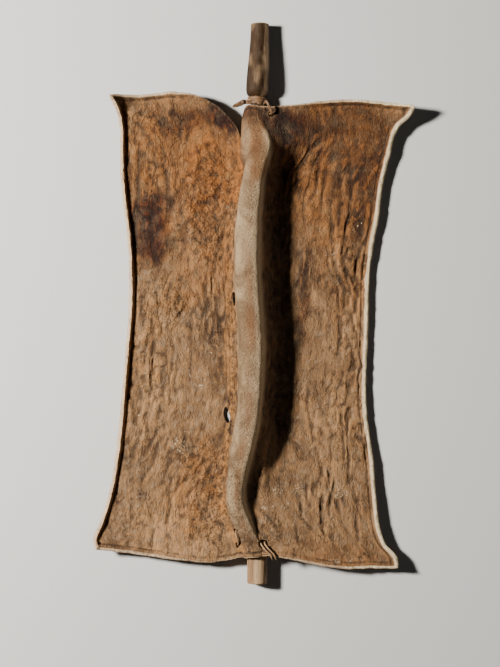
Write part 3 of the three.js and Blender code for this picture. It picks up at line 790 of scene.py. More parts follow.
def relief(arc, points, fields):
    y, smooth = points[..., 1], 1 - fields["ridge"]
    bend = 9 * rough(arc / 55, y / 80, 21, 3)
    height = 1.2 * rough(arc / 70, y / 120, 11, 3) * (0.35 + 0.65 * smooth)
    height += wrinkle_height(arc, y, bend) * fields["wrinkled"] * smooth
    chips = rough(arc / 13, y / 19, 61, 5)
    plates = smoothstep(chips, -0.5, -0.32) + 0.8 * smoothstep(chips, 0.22, 0.36)
    height += fields["flaky"] * smooth * (0.85 * plates - 0.9)
    height += 1.1 * (0.15 + fields["flaky"]) * rough(arc / 8, y / 9, 71, 3) * smooth
    rolling = 0.35 + 0.65 * smoothstep(noise(arc / 60, y / 80, 111), -0.3, 0.5)
    height += 0.75 * rough(arc / 19, y / 30, 101, 4) * smooth * rolling
    height += 0.16 * rough(arc / 5, y / 8, 81, 2) * (0.4 + 0.6 * smooth)
    ripples = 0.3 * rough(arc / 14, y / 20, 91, 2) + 0.22 * rough(arc / 6, y / 7, 95, 2)
    return height + fields["ridge"] * ripples - crack_depth(points[..., 0], y)


# %% [markdown]
# The rims have their own relief: a fold line runs beside each, the cut edge stands swollen, and
# noise along the outline makes the thick rawhide look hacked rather than milled. The hidden side
# only takes slow waves. The relief's own hollows are kept as a mask for painted shade, and its
# tops as a mask for the colours.

# %% Front and back of the sheet
EDGE_NICK = 0.8
DEEPEST_NICK = 0.3
RIM_RELIEF = 0.4
SWOLLEN = (1.6, 1.5, 0.9)
RELIEF_LIMITS = (-3.2, 2.4)
FRONT_SINK = 0.3
BACK_SINK = 0.4


def mean_around(values, rows, cols):
    padded = np.pad(values, ((rows, rows), (cols, cols)), mode="edge")
    total = np.zeros_like(values)
    for r in range(2 * rows + 1):
        for c in range(2 * cols + 1):
            total += padded[r:r + values.shape[0], c:c + values.shape[1]]
    return total / ((2 * rows + 1) * (2 * cols + 1))


def rim_relief(height, arc, y):
    fold_line = 1 + 0.5 * rough(arc[0] / 40, arc[0] * 0, 121, 2)
    side_fold = 1.1 + 0.5 * rough(y[:, -6] / 50, y[:, -6] * 0, 125, 2)
    height[3:5] -= fold_line
    height[-4:-2] -= 0.7 * fold_line
    height[:, -7:-5] -= side_fold[:, None]
    near_rim = np.full_like(height, RIM_RELIEF)
    near_rim[2:-2, 2:-2] = 1
    swollen = np.zeros_like(height)
    for col, thicker in enumerate(SWOLLEN):
        swollen[:, col], swollen[:, -1 - col] = thicker, 0.5 * thicker
    return np.clip(height * near_rim, *RELIEF_LIMITS) + swollen


def outer_ring(rows, cols):
    index = np.arange(rows * cols).reshape(rows, cols)
    ring = np.concatenate([index[0, :-1], index[:-1, -1], index[-1, :0:-1], index[:0:-1, 0]])
    return ring, np.clip(ring // cols, 1, rows - 2) * cols + np.clip(ring % cols, 1, cols - 2)


def hide_shape():
    u, s = np.meshgrid(across_places, along_places)
    u, s, open_cells = cut_holes(u, s)
    points = sheet_points(u.ravel(), s.ravel()).reshape(*u.shape, 3)
    flat = points.reshape(-1, 3)
    ring, inner = outer_ring(*u.shape)
    outward = flat[ring] - flat[inner]
    outward /= np.linalg.norm(outward, axis=-1, keepdims=True)
    nick = EDGE_NICK * rough(flat[ring, 0] / 11, flat[ring, 1] / 11, 131, 3)
    flat[ring] += outward * np.minimum(nick, DEEPEST_NICK)[:, None]
    normals = np.cross(np.gradient(points, axis=1), np.gradient(points, axis=0))
    normals /= np.linalg.norm(normals, axis=-1, keepdims=True)
    arc, y, fields = arc_across(points), points[..., 1], skin(s, points)
    height = rim_relief(relief(arc, points, fields), arc, y)
    print("relief from", round(height.min(), 1), "to", round(height.max(), 1), "mm")
    under = 0.2 * rough(arc / 30, y / 50, 141, 3)
    front = points + normals * (HALF - FRONT_SINK + height)[..., None]
    back = points - normals * (HALF - BACK_SINK + under)[..., None]
    raised = height - mean_around(height, 2, 3)
    # Hollows of the relief become a mask for painted shade.
    fields["hollow_shade"] = np.clip(-raised / 0.7, 0, 1)
    fields["proud"] = np.clip(raised / 0.6, 0, 1)
    return front, back, ring, outward, open_cells, fields


# %% [markdown]
# The sheet becomes a closed mesh: front grid, back grid, walls round the holes, and a cut edge
# around the outside, which two extra rings round over.

# %% Faces of the sheet
def quads(*corners):
    return np.stack(corners, -1).reshape(-1, 4)


def hole_walls(open_cells, index, count):
    walls = []
    left, right = open_cells[:, :-1], open_cells[:, 1:]
    upper, lower = index[1:, 1:-1], index[:-1, 1:-1]
    below, above = open_cells[:-1], open_cells[1:]
    first, second = index[1:-1, :-1], index[1:-1, 1:]
    for mask, a, b in ((right & ~left, upper, lower), (left & ~right, lower, upper),
                       (above & ~below, first, second), (below & ~above, second, first)):
        walls.append(quads(a[mask], b[mask], b[mask] + count, a[mask] + count))
    return walls


def hide_faces(ring, open_cells):
    rows, cols = (size + 1 for size in open_cells.shape)
    count = rows * cols
    index = np.arange(count).reshape(rows, cols)
    a, b, c, d = (corner[~open_cells] for corner in cell_corners(index))
    faces = [quads(a, b, c, d), quads(a, d, c, b) + count, *hole_walls(open_cells, index, count)]
    first_round = 2 * count + np.arange(len(ring))
    levels = [ring, first_round, first_round + len(ring), ring + count]
    for upper, lower in zip(levels, levels[1:]):
        faces.append(quads(upper, lower, np.roll(lower, -1), np.roll(upper, -1)))
    return np.concatenate(faces), levels


# %% [markdown]
# The masks that the finish needs are kept as point attributes. The cut edge is pale all round, but
# less so where the upper left margin is rolled back, and it carries a painted highlight at the
# right.

# %% Masks of the cut edge
def edge_masks(top, cols, count, levels):
    cut = np.zeros(2 * count + 2 * len(top))
    rim_highlight = np.zeros_like(cut)
    cut[2 * count:] = 1
    cut[levels[0]] = 0.75
    cut[levels[-1]] = 0.5
    grid_cols = np.arange(count) % cols
    from_side = np.minimum(grid_cols, cols - 1 - grid_cols)
    # The first two grid columns beside each side take the pale edge colour too: partly raw edge,
    # partly a painted lit band over the top of the rim wall.
    cut[:count] = np.maximum(cut[:count], 0.85 * (from_side == 1) + 0.3 * (from_side == 2))
    rolled_back = smoothstep(top[:, 0], on_shield(196, 0)[0], on_shield(206, 0)[0])
    near_top = smoothstep(top[:, 1], along_hide(0.9), along_hide(0.93))
    rolled_back *= near_top * (top[:, 0] < ridge_x(1))
    for level in levels:
        cut[level] *= 1 - 0.85 * rolled_back
        # Painted highlight on the cut edge at the right.
        rim_highlight[level] = smoothstep(top[:, 0], 0.28 * HIDE_WIDTH, 0.32 * HIDE_WIDTH)
    return {"rim_highlight": rim_highlight, "cut_edge": cut}


# %% Mesh of the sheet
EDGE_BULGE = 0.7
ROUND_SHARES = (0.28, 0.72)
LOWEST = 0.05
HIDDEN_SIDE = {"tone_and_shade": -0.25, "flaky": 0.15}


def new_mesh(name, points, faces, lowest=LOWEST, sharp=None):
    points[:, 0] += SHIFT_X
    points[:, 2] = np.maximum(points[:, 2], lowest)
    mesh = bpy.data.meshes.new(name)
    mesh.from_pydata((points * MM).tolist(), [], faces)
    mesh.shade_smooth()
    if sharp:
        mesh.set_sharp_from_angle(angle=math.radians(sharp))
    return mesh


def add_field(mesh, name, values):
    attribute = mesh.attributes.new(name, "FLOAT", "POINT")
    attribute.data.foreach_set("value", np.asarray(values, dtype=np.float32))


def add_piece(name, mesh, slot, *nodes):
    piece = bpy.data.objects.new(name, mesh)
    bpy.context.collection.objects.link(piece)
    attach(piece, "root")
    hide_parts(*nodes)
    triangles = sum(len(face.vertices) - 2 for face in mesh.polygons)
    print(name, "has", triangles, "triangles")
    return piece


def hide_mesh():
    front, back, ring, outward, open_cells, fields = hide_shape()
    faces, levels = hide_faces(ring, open_cells)
    front, back = front.reshape(-1, 3), back.reshape(-1, 3)
    top, low, count = front[ring], back[ring], len(front)
    bulge = EDGE_BULGE * (1 + 0.6 * rough(top[:, 0] / 5, top[:, 1] / 5, 151, 2))[:, None]
    rounds = [lerp(top, low, share) + outward * bulge for share in ROUND_SHARES]
    used, faces = np.unique(faces, return_inverse=True)
    points = np.concatenate([front, back, *rounds])[used]
    mesh = new_mesh("hide_sheet", points, faces.reshape(-1, 4).tolist(), sharp=62)
    masks = edge_masks(top, len(across_places), count, levels)
    for name, values in fields.items():
        behind = np.full(count, HIDDEN_SIDE.get(name, 0.0))
        masks[name] = np.concatenate([values.ravel(), behind, np.zeros(2 * len(ring))])
    for name, values in masks.items():
        add_field(mesh, name, values[used])
    return mesh


hide = add_piece("hide_sheet", hide_mesh(), "rawhide", "hide")

# %% [markdown]
# Finishes come from shader nodes. Small helpers keep them short: one adds a node and fills its
# sockets, others mix two colours by a mask, do sums on masks, and lay coats of colour one over
# another. Picture textures would need files and go soft close up, and nodes don't. Effects that
# several finishes share are node groups with named inputs and outputs: fibre grain, dry cracks,
# dust and rubbed edges.

# %% Node helpers
MIX_FACTOR, MIX_BELOW, MIX_ABOVE, MIX_RESULT = 0, 6, 7, 2


def fill(tree, socket, value):
    if isinstance(value, bpy.types.NodeSocket):
        tree.links.new(value, socket)
    else:
        socket.default_value = value


def add_node(tree, kind, inputs=None, **settings):
    node = tree.nodes.new(kind)
    for name, value in settings.items():
        setattr(node, name, value)
    for name, value in (inputs or {}).items():
        fill(tree, node.inputs[name], value)
    return node


def mix_colour(tree, mask, below, above, blend="MIX"):
    inputs = {MIX_FACTOR: mask, MIX_BELOW: below, MIX_ABOVE: above}
    node = add_node(tree, "ShaderNodeMix", inputs, data_type="RGBA", blend_type=blend)
    return node.outputs[MIX_RESULT]


def maths(tree, operation, *values):
    return add_node(tree, "ShaderNodeMath", dict(enumerate(values)), operation=operation).outputs[0]


def times(tree, product, *others):
    for value in others:
        product = maths(tree, "MULTIPLY", product, value)
    return product


def plus(tree, total, *others):
    for value in others:
        total = maths(tree, "ADD", total, value)
    return total


def between_values(tree, value, low, high, to_low=0.0, to_high=1.0):
    inputs = {"Value": value, "From Min": low, "From Max": high,
              "To Min": to_low, "To Max": to_high}
    ramp = add_node(tree, "ShaderNodeMapRange", inputs, interpolation_type="SMOOTHSTEP")
    return ramp.outputs["Result"]


def coats(tree, surface, layers):
    for mask, strength, colour in layers:
        surface = mix_colour(tree, times(tree, mask, strength), surface, colour)
    return surface


def mask_of(tree, name):
    return add_node(tree, "ShaderNodeAttribute", attribute_name=name).outputs["Fac"]


def srgb(red, green, blue):
    return tuple((v / 255 / 12.92) if v <= 10 else ((v / 255 + 0.055) / 1.055) ** 2.4
                 for v in (red, green, blue)) + (1,)


DUSTY = srgb(170, 142, 108)

# %% [markdown]
# A group's inputs and outputs are made on its interface, and a material sets them by name. The
# noise in every group is taken in the object's own place, stretched along the shield where the
# fibres or the wood grain run that way.

# %% Group helpers
def new_group(name, inputs, outputs):
    group = bpy.data.node_groups.new(name, "ShaderNodeTree")
    for label, value in inputs.items():
        socket = group.interface.new_socket(label, in_out="INPUT", socket_type="NodeSocketFloat")
        socket.default_value = value
    for label in outputs:
        group.interface.new_socket(label, in_out="OUTPUT", socket_type="NodeSocketFloat")
    given, out = group.nodes.new("NodeGroupInput"), group.nodes.new("NodeGroupOutput")
    return group, given.outputs, out.inputs


def use_group(tree, group, **values):
    node = add_node(tree, "ShaderNodeGroup", node_tree=group)
    for name, value in values.items():
        node.inputs[name].default_value = value
    return node.outputs


def object_place(tree):
    return add_node(tree, "ShaderNodeTexCoord").outputs["Object"]


def stretched_place(tree, scale, stretch):
    along = maths(tree, "DIVIDE", scale, stretch)
    size = add_node(tree, "ShaderNodeCombineXYZ", {"X": scale, "Y": along, "Z": scale}).outputs[0]
    inputs = {0: object_place(tree), 1: size}
    return add_node(tree, "ShaderNodeVectorMath", inputs, operation="MULTIPLY").outputs[0]


def cloud(tree, place, scale=1.0, **more):
    inputs = {"Vector": place, "Scale": scale, **more}
    return add_node(tree, "ShaderNodeTexNoise", inputs).outputs["Fac"]


# %% Fibre grain group
COARSER = 0.16
CREASE_WIDTH = 0.035


def fibre_grain_group():
    group, given, out = new_group("fibre grain", {"Scale": 300.0, "Stretch": 3.0},
                                  ["Fine", "Coarse", "Crease"])
    place = stretched_place(group, given["Scale"], given["Stretch"])
    fine = cloud(group, place, Detail=6.0, Roughness=0.62, Distortion=0.4)
    place = stretched_place(group, times(group, given["Scale"], COARSER), given["Stretch"])
    coarse = cloud(group, place, Detail=5.0, Roughness=0.6, Distortion=0.8)
    fold = maths(group, "ABSOLUTE", maths(group, "SUBTRACT", coarse, 0.5))
    fill(group, out["Fine"], fine)
    fill(group, out["Coarse"], coarse)
    fill(group, out["Crease"], between_values(group, fold, 0.0, CREASE_WIDTH, 1.0, 0.0))
    return group


# %% Dry crack group
def dry_crack_group():
    group, given, out = new_group("dry cracks", {"Scale": 120.0, "Stretch": 4.0, "Width": 0.06},
                                  ["Crack"])
    place = stretched_place(group, given["Scale"], given["Stretch"])
    bend = add_node(group, "ShaderNodeTexNoise", {"Vector": place, "Scale": 1.3, "Detail": 3.0})
    bent = add_node(group, "ShaderNodeVectorMath", {0: place, 1: bend.outputs["Color"]},
                    operation="ADD")
    cells = add_node(group, "ShaderNodeTexVoronoi", {"Vector": bent.outputs[0], "Scale": 1.0},
                     feature="DISTANCE_TO_EDGE")
    line = maths(group, "DIVIDE", cells.outputs["Distance"], given["Width"])
    line = between_values(group, line, 0.0, 1.0, 1.0, 0.0)
    broken = between_values(group, cloud(group, place, 0.45, Detail=3.0), 0.5, 0.62)
    fill(group, out["Crack"], times(group, line, broken))
    return group


# %% Dust group
SPECKS_FINER = 4.3


def dust_group():
    group, given, out = new_group("dust", {"Amount": 0.5, "Scale": 60.0}, ["Dust", "Fleck"])
    facing = add_node(group, "ShaderNodeNewGeometry").outputs["Normal"]
    up = add_node(group, "ShaderNodeSeparateXYZ", {0: facing}).outputs["Z"]
    lying = between_values(group, up, 0.55, 1.0)
    place = object_place(group)
    patch = cloud(group, place, given["Scale"], Detail=7.0, Roughness=0.7)
    patch = between_values(group, patch, 0.42, 0.72)
    specks = cloud(group, place, times(group, given["Scale"], SPECKS_FINER), Detail=3.0)
    dots = between_values(group, specks, 0.73, 0.77)
    fill(group, out["Dust"], times(group, lying, patch, given["Amount"]))
    fill(group, out["Fleck"], times(group, dots, lying))
    return group


# %% Rubbed edge group
def rubbed_edge_group():
    group, given, out = new_group("rubbed edges", {"Low": 0.52, "High": 0.6, "Scale": 90.0},
                                  ["Rubbed"])
    sharp = add_node(group, "ShaderNodeNewGeometry").outputs["Pointiness"]
    inputs = {"Value": sharp, "From Min": given["Low"], "From Max": given["High"]}
    edge = add_node(group, "ShaderNodeMapRange", inputs).outputs["Result"]
    patch = cloud(group, object_place(group), given["Scale"], Detail=4.0)
    fill(group, out["Rubbed"], times(group, edge, patch))
    return group


FIBRE_GRAIN = fibre_grain_group()
DRY_CRACKS = dry_crack_group()
DUST = dust_group()
RUBBED_EDGES = rubbed_edge_group()
print("node groups:", [group.name for group in bpy.data.node_groups])

# %% [markdown]
# The rawhide went brown with smoke, grease and dust. Dark patches are partly old grease and partly
# painted shadow, orange ones are where the outer skin has flaked off, the ridge is rubbed to a grey
# sheen by the carrying hand, and every cut edge shows the pale raw hide. Colours are laid one over
# another by the masks that the mesh carries: a mask, its strength and its colour for each coat.

# %% Rawhide colours
WARM_TINT = (0.92, 0.68, 0.4, 1)
GREASE_AND_SHADOW_TINT = (0.44, 0.22, 0.06, 1)


def brown_ground(tree, tone_and_shade, grain, mottle):
    light = plus(tree, times(tree, tone_and_shade, 0.3), mottle["Coarse"])
    brown = mix_colour(tree, between_values(tree, light, 0.2, 0.85),
                       srgb(54, 34, 18), srgb(164, 122, 81))
    stale = between_values(tree, tone_and_shade, -0.4, 0.15, 0.1, 0.75)
    ochre = mix_colour(tree, grain["Coarse"], srgb(88, 51, 21), srgb(178, 124, 68))
    warm = plus(tree, times(tree, mask_of(tree, "orange"), 0.34), grain["Coarse"])
    flank = times(tree, mask_of(tree, "flank"), between_values(tree, grain["Coarse"], 0.35, 0.65))
    brown = coats(tree, brown, [
        (between_values(tree, mottle["Fine"], 0.46, 0.68), stale, srgb(138, 114, 88)),
        (between_values(tree, warm, 0.56, 0.86), 0.7, ochre),
        (between_values(tree, mask_of(tree, "proud"), 0.25, 1.0), 0.32, srgb(196, 144, 92)),
        (flank, 0.7, srgb(184, 128, 70)),
    ])
    return mix_colour(tree, mask_of(tree, "warm"), brown, WARM_TINT, "MULTIPLY")


def handled_ridge(tree, mottle, ribs):
    handled = mix_colour(tree, between_values(tree, mottle["Coarse"], 0.35, 0.65),
                         srgb(136, 108, 78), srgb(208, 178, 138))
    return coats(tree, handled, [
        (mask_of(tree, "stain"), 0.75, srgb(158, 108, 68)),
        (between_values(tree, ribs, 0.5, 0.7), 0.45, srgb(90, 64, 40)),
        # Painted highlight along the ridge's right edge.
        (mask_of(tree, "ridge_highlight"), 0.9, srgb(248, 214, 166)),
    ])


def rawhide_colour(tree, grain, mottle, creases, cracks, dust, rubbed, ribs):
    tone_and_shade, ridge = mask_of(tree, "tone_and_shade"), mask_of(tree, "ridge")
    ground = brown_ground(tree, tone_and_shade, grain, mottle)
    surface = mix_colour(tree, times(tree, ridge, 0.9), ground, handled_ridge(tree, mottle, ribs))
    # The darkest ovals are multiplied darker: old grease, and painted shadow beside the ridge.
    grease_and_shadow = between_values(tree, tone_and_shade, -0.25, -0.9, 0.0, 0.9)
    surface = mix_colour(tree, grease_and_shadow, surface, GREASE_AND_SHADOW_TINT, "MULTIPLY")
    spots = between_values(tree, mask_of(tree, "flaky"), 0.0, 1.0, 0.12, 0.7)
    off_ridge = between_values(tree, ridge, 0.0, 0.6, 0.14, 0.0)
    chalky = times(tree, mask_of(tree, "fleck"), between_values(tree, grain["Fine"], 0.54, 0.62))
    raw_edge = mix_colour(tree, grain["Coarse"], srgb(170, 132, 98), srgb(238, 208, 168))
    # Painted highlight on the right cut edge.
    raw_edge = mix_colour(tree, mask_of(tree, "rim_highlight"), raw_edge, srgb(240, 216, 172))
    return coats(tree, surface, [
        (between_values(tree, grain["Fine"], 0.53, 0.6), spots, srgb(44, 26, 13)),
        # Painted shade in the hollows of the relief.
        (between_values(tree, mask_of(tree, "hollow_shade"), 0.25, 1.0), 0.6, srgb(30, 17, 9)),
        # Painted shade in the creases between wrinkles.
        (creases, 0.1, srgb(36, 21, 11)),
        (cracks["Crack"], off_ridge, srgb(40, 24, 13)),
        (dust["Dust"], 0.4, DUSTY),
        (maths(tree, "MAXIMUM", dust["Fleck"], chalky), 0.75, srgb(232, 210, 174)),
        (rubbed["Rubbed"], 0.5, srgb(186, 148, 102)),
        (between_values(tree, mask_of(tree, "cut_edge"), 0.2, 0.95), 1.0, raw_edge),
    ])


# %% [markdown]
# The bump adds only what is finer than a cell of the mesh: fibres everywhere, crumbs where the
# skin is flaky, creases between the wrinkles, and fine ribs across the ridge.

# %% Rawhide bump and material
def rawhide_height(tree, grain, mottle, creases, cracks, ribs):
    ridge = mask_of(tree, "ridge")
    crumbs = between_values(tree, mask_of(tree, "flaky"), 0.0, 1.0, 0.5, 2.4)
    plates = between_values(tree, mottle["Fine"], 0.5, 0.56)
    pebbles = plus(tree, grain["Fine"], times(tree, mottle["Fine"], crumbs),
                   times(tree, grain["Coarse"], crumbs), times(tree, plates, crumbs, 0.25))
    carved = times(tree, pebbles, between_values(tree, ridge, 0.0, 1.0, 1.0, 0.8))
    split = times(tree, cracks["Crack"], between_values(tree, ridge, 0.0, 0.6, 0.5, 0.0))
    carved = maths(tree, "SUBTRACT", carved, plus(tree, split, times(tree, creases, 0.5)))
    return plus(tree, carved, times(tree, ribs, ridge, 1.8))


def new_material(name):
    material = bpy.data.materials.new(name)
    material.use_nodes = True
    tree = material.node_tree
    return material, tree, tree.nodes["Principled BSDF"]


def put_on(piece, material):
    piece.data.materials.append(material)
    print(piece.name, "wears", material.name, "of", len(material.node_tree.nodes), "nodes")


def dress(tree, shader, surface, roughness, height, strength, depth):
    inputs = {"Height": height, "Strength": strength, "Distance": depth}
    bump = add_node(tree, "ShaderNodeBump", inputs)
    fill(tree, shader.inputs["Base Color"], surface)
    fill(tree, shader.inputs["Roughness"], roughness)
    fill(tree, shader.inputs["Normal"], bump.outputs["Normal"])


def rawhide_material():
    material, tree, shader = new_material("rawhide")
    grain = use_group(tree, FIBRE_GRAIN, Scale=360.0, Stretch=1.2)
    mottle = use_group(tree, FIBRE_GRAIN, Scale=115.0, Stretch=1.3)
    folds = use_group(tree, FIBRE_GRAIN, Scale=460.0, Stretch=3.4)["Crease"]
    ribs = use_group(tree, FIBRE_GRAIN, Scale=260.0, Stretch=0.35)["Fine"]
    cracks = use_group(tree, DRY_CRACKS, Scale=75.0, Stretch=2.6, Width=0.05)
    dust = use_group(tree, DUST, Amount=0.5, Scale=46.0)
    rubbed = use_group(tree, RUBBED_EDGES, Low=0.51, High=0.6, Scale=120.0)
    ridge = mask_of(tree, "ridge")
    off_ridge = between_values(tree, ridge, 0.0, 0.6, 1.0, 0.0)
    creases = times(tree, folds, mask_of(tree, "wrinkled"), off_ridge)
    surface = rawhide_colour(tree, grain, mottle, creases, cracks, dust, rubbed, ribs)
    height = rawhide_height(tree, grain, mottle, creases, cracks, ribs)
    roughness = plus(tree, between_values(tree, ridge, 0.0, 1.0, 0.8, 0.56),
                     times(tree, dust["Dust"], 0.15))
    dress(tree, shader, surface, roughness, height, 1.0, 3.4 * MM)
    shader.inputs["Specular IOR Level"].default_value = 0.32
    return material


put_on(hide, rawhide_material())

# %% [markdown]
# The stave is a pole cut with a knife: nearly round, with long shallow facets, a flat along its
# back where it lies on the ground, and a neck round it under each lashing. It is swept in rings.
# Long grooves follow the grain, and a few knots stand out of it. A cylinder with modifiers could
# do the same, but rings from the stave's own functions fit the hide and the lashings exactly. A
# knot's row holds its place along the stave, the side it is on and its size.

# %% Surface of the stave
STAVE_SIDES = 96
STAVE_STEP = 2.6
END_ROUND = 2
FACETS = 9
FACET_SHARE = 0.8
OVERSIZE = 0.15
GRAIN_REACH = 6
GROOVE_DEPTH = 0.22
KNOTS = [(120, 1.9, 7), (-250, 4.2, 6), (405, 1.2, 5)]


def stave_rings():
    count = round(STAVE_LENGTH / STAVE_STEP)
    y = np.linspace(STAVE_FOOT, -STAVE_FOOT, count + 1)
    ends = np.array([0.25, 0.6, 1.0, 1.5]) * END_ROUND
    return np.unique(np.concatenate([y, STAVE_FOOT + ends, -STAVE_FOOT - ends]))


def stave_cut(y, turn):
    twist = turn + 0.25 * noise(y / 160, y * 0, 501)
    sector = np.pi / FACETS
    facet = np.cos(sector) / np.cos((twist % (2 * sector)) - sector)
    depth = 0.55 * noise(twist * FACETS / (2 * np.pi), y / 120, 511) + 0.45
    return lerp(1, facet, np.clip(depth, 0, 1) * FACET_SHARE)


def stave_grooves(y, x, z):
    grain = rough(x * 1.5 + 31, y / 90 + z, 521, 4) + rough(z * 1.5 + 57, y / 90, 531, 3)
    return GROOVE_DEPTH * np.clip(1 - abs(grain) / 0.3, 0, 1)


def stave_knots(y, turn):
    mask, height = np.zeros_like(y), np.zeros_like(y)
    for place, side, size in KNOTS:
        gap = np.angle(np.exp(1j * (turn - side))) * stave_radius(y)
        away = np.hypot(gap, (y - place) / 1.4) / size
        mask = np.maximum(mask, np.exp(-(away ** 2) * 1.6))
        height += 0.7 * np.exp(-((away - 0.9) ** 2) / 0.12) - 0.6 * np.exp(-((away / 0.5) ** 2))
    return mask, height


print(len(stave_rings()), "rings of", STAVE_SIDES, "points round the stave")


# %% Mesh of the stave
def tube_faces(count, sides, start=0, inside_out=False):
    index = start + np.arange(count * sides).reshape(count, sides)
    after = np.roll(index, -1, axis=1)
    walls = quads(index[:-1], after[:-1], after[1:], index[1:])
    first, last = (np.full(sides, start + count * sides + end) for end in (0, 1))
    caps = np.concatenate([np.stack([first, after[0], index[0]], -1),
                           np.stack([last, index[-1], after[-1]], -1)])
    if inside_out:
        walls, caps = walls[:, [0, 3, 2, 1]], caps[:, [0, 2, 1]]
    return walls.tolist() + caps.tolist()


def stave_mesh():
    around = np.linspace(0, 2 * np.pi, STAVE_SIDES, endpoint=False)
    y, turn = np.meshgrid(stave_rings(), around, indexing="ij")
    from_end = np.minimum(y - STAVE_FOOT, -STAVE_FOOT - y)
    beyond = np.maximum(END_ROUND - from_end, 0)
    rounding = END_ROUND - np.sqrt(np.maximum(END_ROUND ** 2 - beyond ** 2, 0))
    around_x, around_z = GRAIN_REACH * np.cos(turn), GRAIN_REACH * np.sin(turn)
    knot_mask, knot_height = stave_knots(y, turn)
    radius = (stave_radius(y) - rounding) * stave_cut(y, turn) + OVERSIZE
    radius = radius - stave_grooves(y, around_x, around_z) + knot_height
    z = np.maximum(stave_axis_z(y) + radius * np.sin(turn), 0)
    points = np.stack([stave_x(y) + radius * np.cos(turn), y, z], -1)
    caps = [points[0].mean(axis=0), points[-1].mean(axis=0)]
    points = np.concatenate([points.reshape(-1, 3), caps])
    faces = tube_faces(*y.shape, inside_out=True)
    mesh = new_mesh("stave_pole", points, faces, lowest=0, sharp=50)
    # Painted shadow over the stave above the hide, broken by a painted highlight stripe on its
    # right side.
    highlight_stripe = np.exp(-(((turn - 0.66) / 0.36) ** 2))
    highlight_stripe = highlight_stripe * (0.9 + 0.3 * rough(y / 40, around_x / 9, 551, 2))
    tip_shadow = np.clip(1.0 - 0.9 * highlight_stripe + 0.3 * rough(y / 30, around_x / 5, 541, 3), 0, 1)
    add_field(mesh, "knot", np.append(knot_mask.ravel(), [0, 0]))
    add_field(mesh, "tip_shadow", np.append((tip_shadow * smoothstep(y, 200, 300)).ravel(), [0, 1]))
    add_field(mesh, "cut_end", np.append(np.exp(-((from_end / 1.2) ** 2)).ravel(), [1, 1]))
    return mesh


stave = add_piece("stave_pole", stave_mesh(), "wood", "stave")

# %% [markdown]
# The wood is grey-brown and polished by handling, with fine dark grain lines. Above the hide it is
# painted dark as shadow, with a painted highlight stripe along its right side, and the two cut
# ends show lighter end grain.

# %% Stave wood
def wood_material():
    material, tree, shader = new_material("wood")
    grain = use_group(tree, FIBRE_GRAIN, Scale=520.0, Stretch=26.0)
    bands = use_group(tree, FIBRE_GRAIN, Scale=240.0, Stretch=12.0)
    cracks = use_group(tree, DRY_CRACKS, Scale=190.0, Stretch=16.0, Width=0.045)
    dust = use_group(tree, DUST, Amount=0.35, Scale=80.0)
    rubbed = use_group(tree, RUBBED_EDGES, Low=0.55, High=0.63, Scale=60.0)
    tip_shadow = mask_of(tree, "tip_shadow")
    pale = mix_colour(tree, between_values(tree, bands["Coarse"], 0.35, 0.65),
                      srgb(126, 94, 64), srgb(186, 154, 118))
    # Painted shadow on the stave above the hide.
    shadowed_wood = mix_colour(tree, between_values(tree, bands["Coarse"], 0.4, 0.66),
                        srgb(22, 12, 5), srgb(56, 38, 20))
    end_grain = mix_colour(tree, bands["Fine"], srgb(120, 92, 64), srgb(196, 166, 130))
    clean = between_values(tree, tip_shadow, 0.0, 1.0, 0.6, 0.15)
    surface = coats(tree, pale, [
        (tip_shadow, 1.0, shadowed_wood),
        (between_values(tree, grain["Fine"], 0.5, 0.64), 0.6, srgb(58, 38, 22)),
        (cracks["Crack"], 0.5, srgb(34, 22, 13)),
        (mask_of(tree, "knot"), 0.75, srgb(52, 30, 17)),
        (rubbed["Rubbed"], clean, srgb(204, 178, 142)),
        (dust["Dust"], clean, srgb(176, 154, 124)),
        (mask_of(tree, "cut_end"), 0.8, end_grain),
    ])
    height = maths(tree, "SUBTRACT", grain["Fine"], cracks["Crack"])
    roughness = between_values(tree, grain["Fine"], 0.3, 0.7, 0.56, 0.76)
    dress(tree, shader, surface, roughness, height, 0.6, 0.6 * MM)
    shader.inputs["Specular IOR Level"].default_value = 0.15
    return material


put_on(stave, wood_material())

# %% [markdown]
# The lashings are strips cut from raw hide, twisted a little and tied wet, so that they dried hard
# round the stave. A curve with a bevel is the quick way to make one, but it has the same section
# all along. So one helper sweeps a flat strip along a path: its profile is a rounded slab with
# ragged edges, and the strip narrows, frays and turns a little as it runs.

# %% Sweep a thong
THONG_SIDES = 22
THONG_STEP = 0.8
TOP_TURN_PITCH = 0.86 * THONG_WIDTH
THONG_REACH = THONG_THICKNESS / 2 + FIT_GAP
LASH_TURNS = 3
CREASE_DEPTH = 0.16
COIL_POINTS = 22
COIL_SLACK = 0.2


def smooth_path(points, step=THONG_STEP):
    points = np.asarray(points, float)
    before, after = 2 * points[0] - points[1], 2 * points[-1] - points[-2]
    p = np.vstack([before, points, after])
    parts = []
    for i in range(1, len(p) - 2):
        count = max(2, int(np.linalg.norm(p[i + 1] - p[i]) / step))
        t = (np.arange(count) / count)[:, None]
        a, b, c, d = p[i - 1], p[i], p[i + 1], p[i + 2]
        curve = 0.5 * (2 * b + (c - a) * t + (2 * a - 5 * b + 4 * c - d) * t ** 2
                       + (3 * b - a - 3 * c + d) * t ** 3)
        parts.append(curve)
    return np.vstack([*parts, p[-2:-1]])


def path_frames(path, first_side):
    tangent = np.gradient(path, axis=0)
    tangent /= np.linalg.norm(tangent, axis=1, keepdims=True)
    side = np.zeros_like(path)
    current = np.asarray(first_side, float)
    for i, way in enumerate(tangent):
        current = current - way * current.dot(way)
        current /= np.linalg.norm(current)
        side[i] = current
    return tangent, side, np.cross(tangent, side)


def strip_profile():
    turn = np.linspace(0, 2 * np.pi, THONG_SIDES, endpoint=False)
    across = np.sign(np.cos(turn)) * np.abs(np.cos(turn)) ** 0.7
    thick = np.sign(np.sin(turn)) * np.abs(np.sin(turn)) ** 0.8
    return turn, across, thick


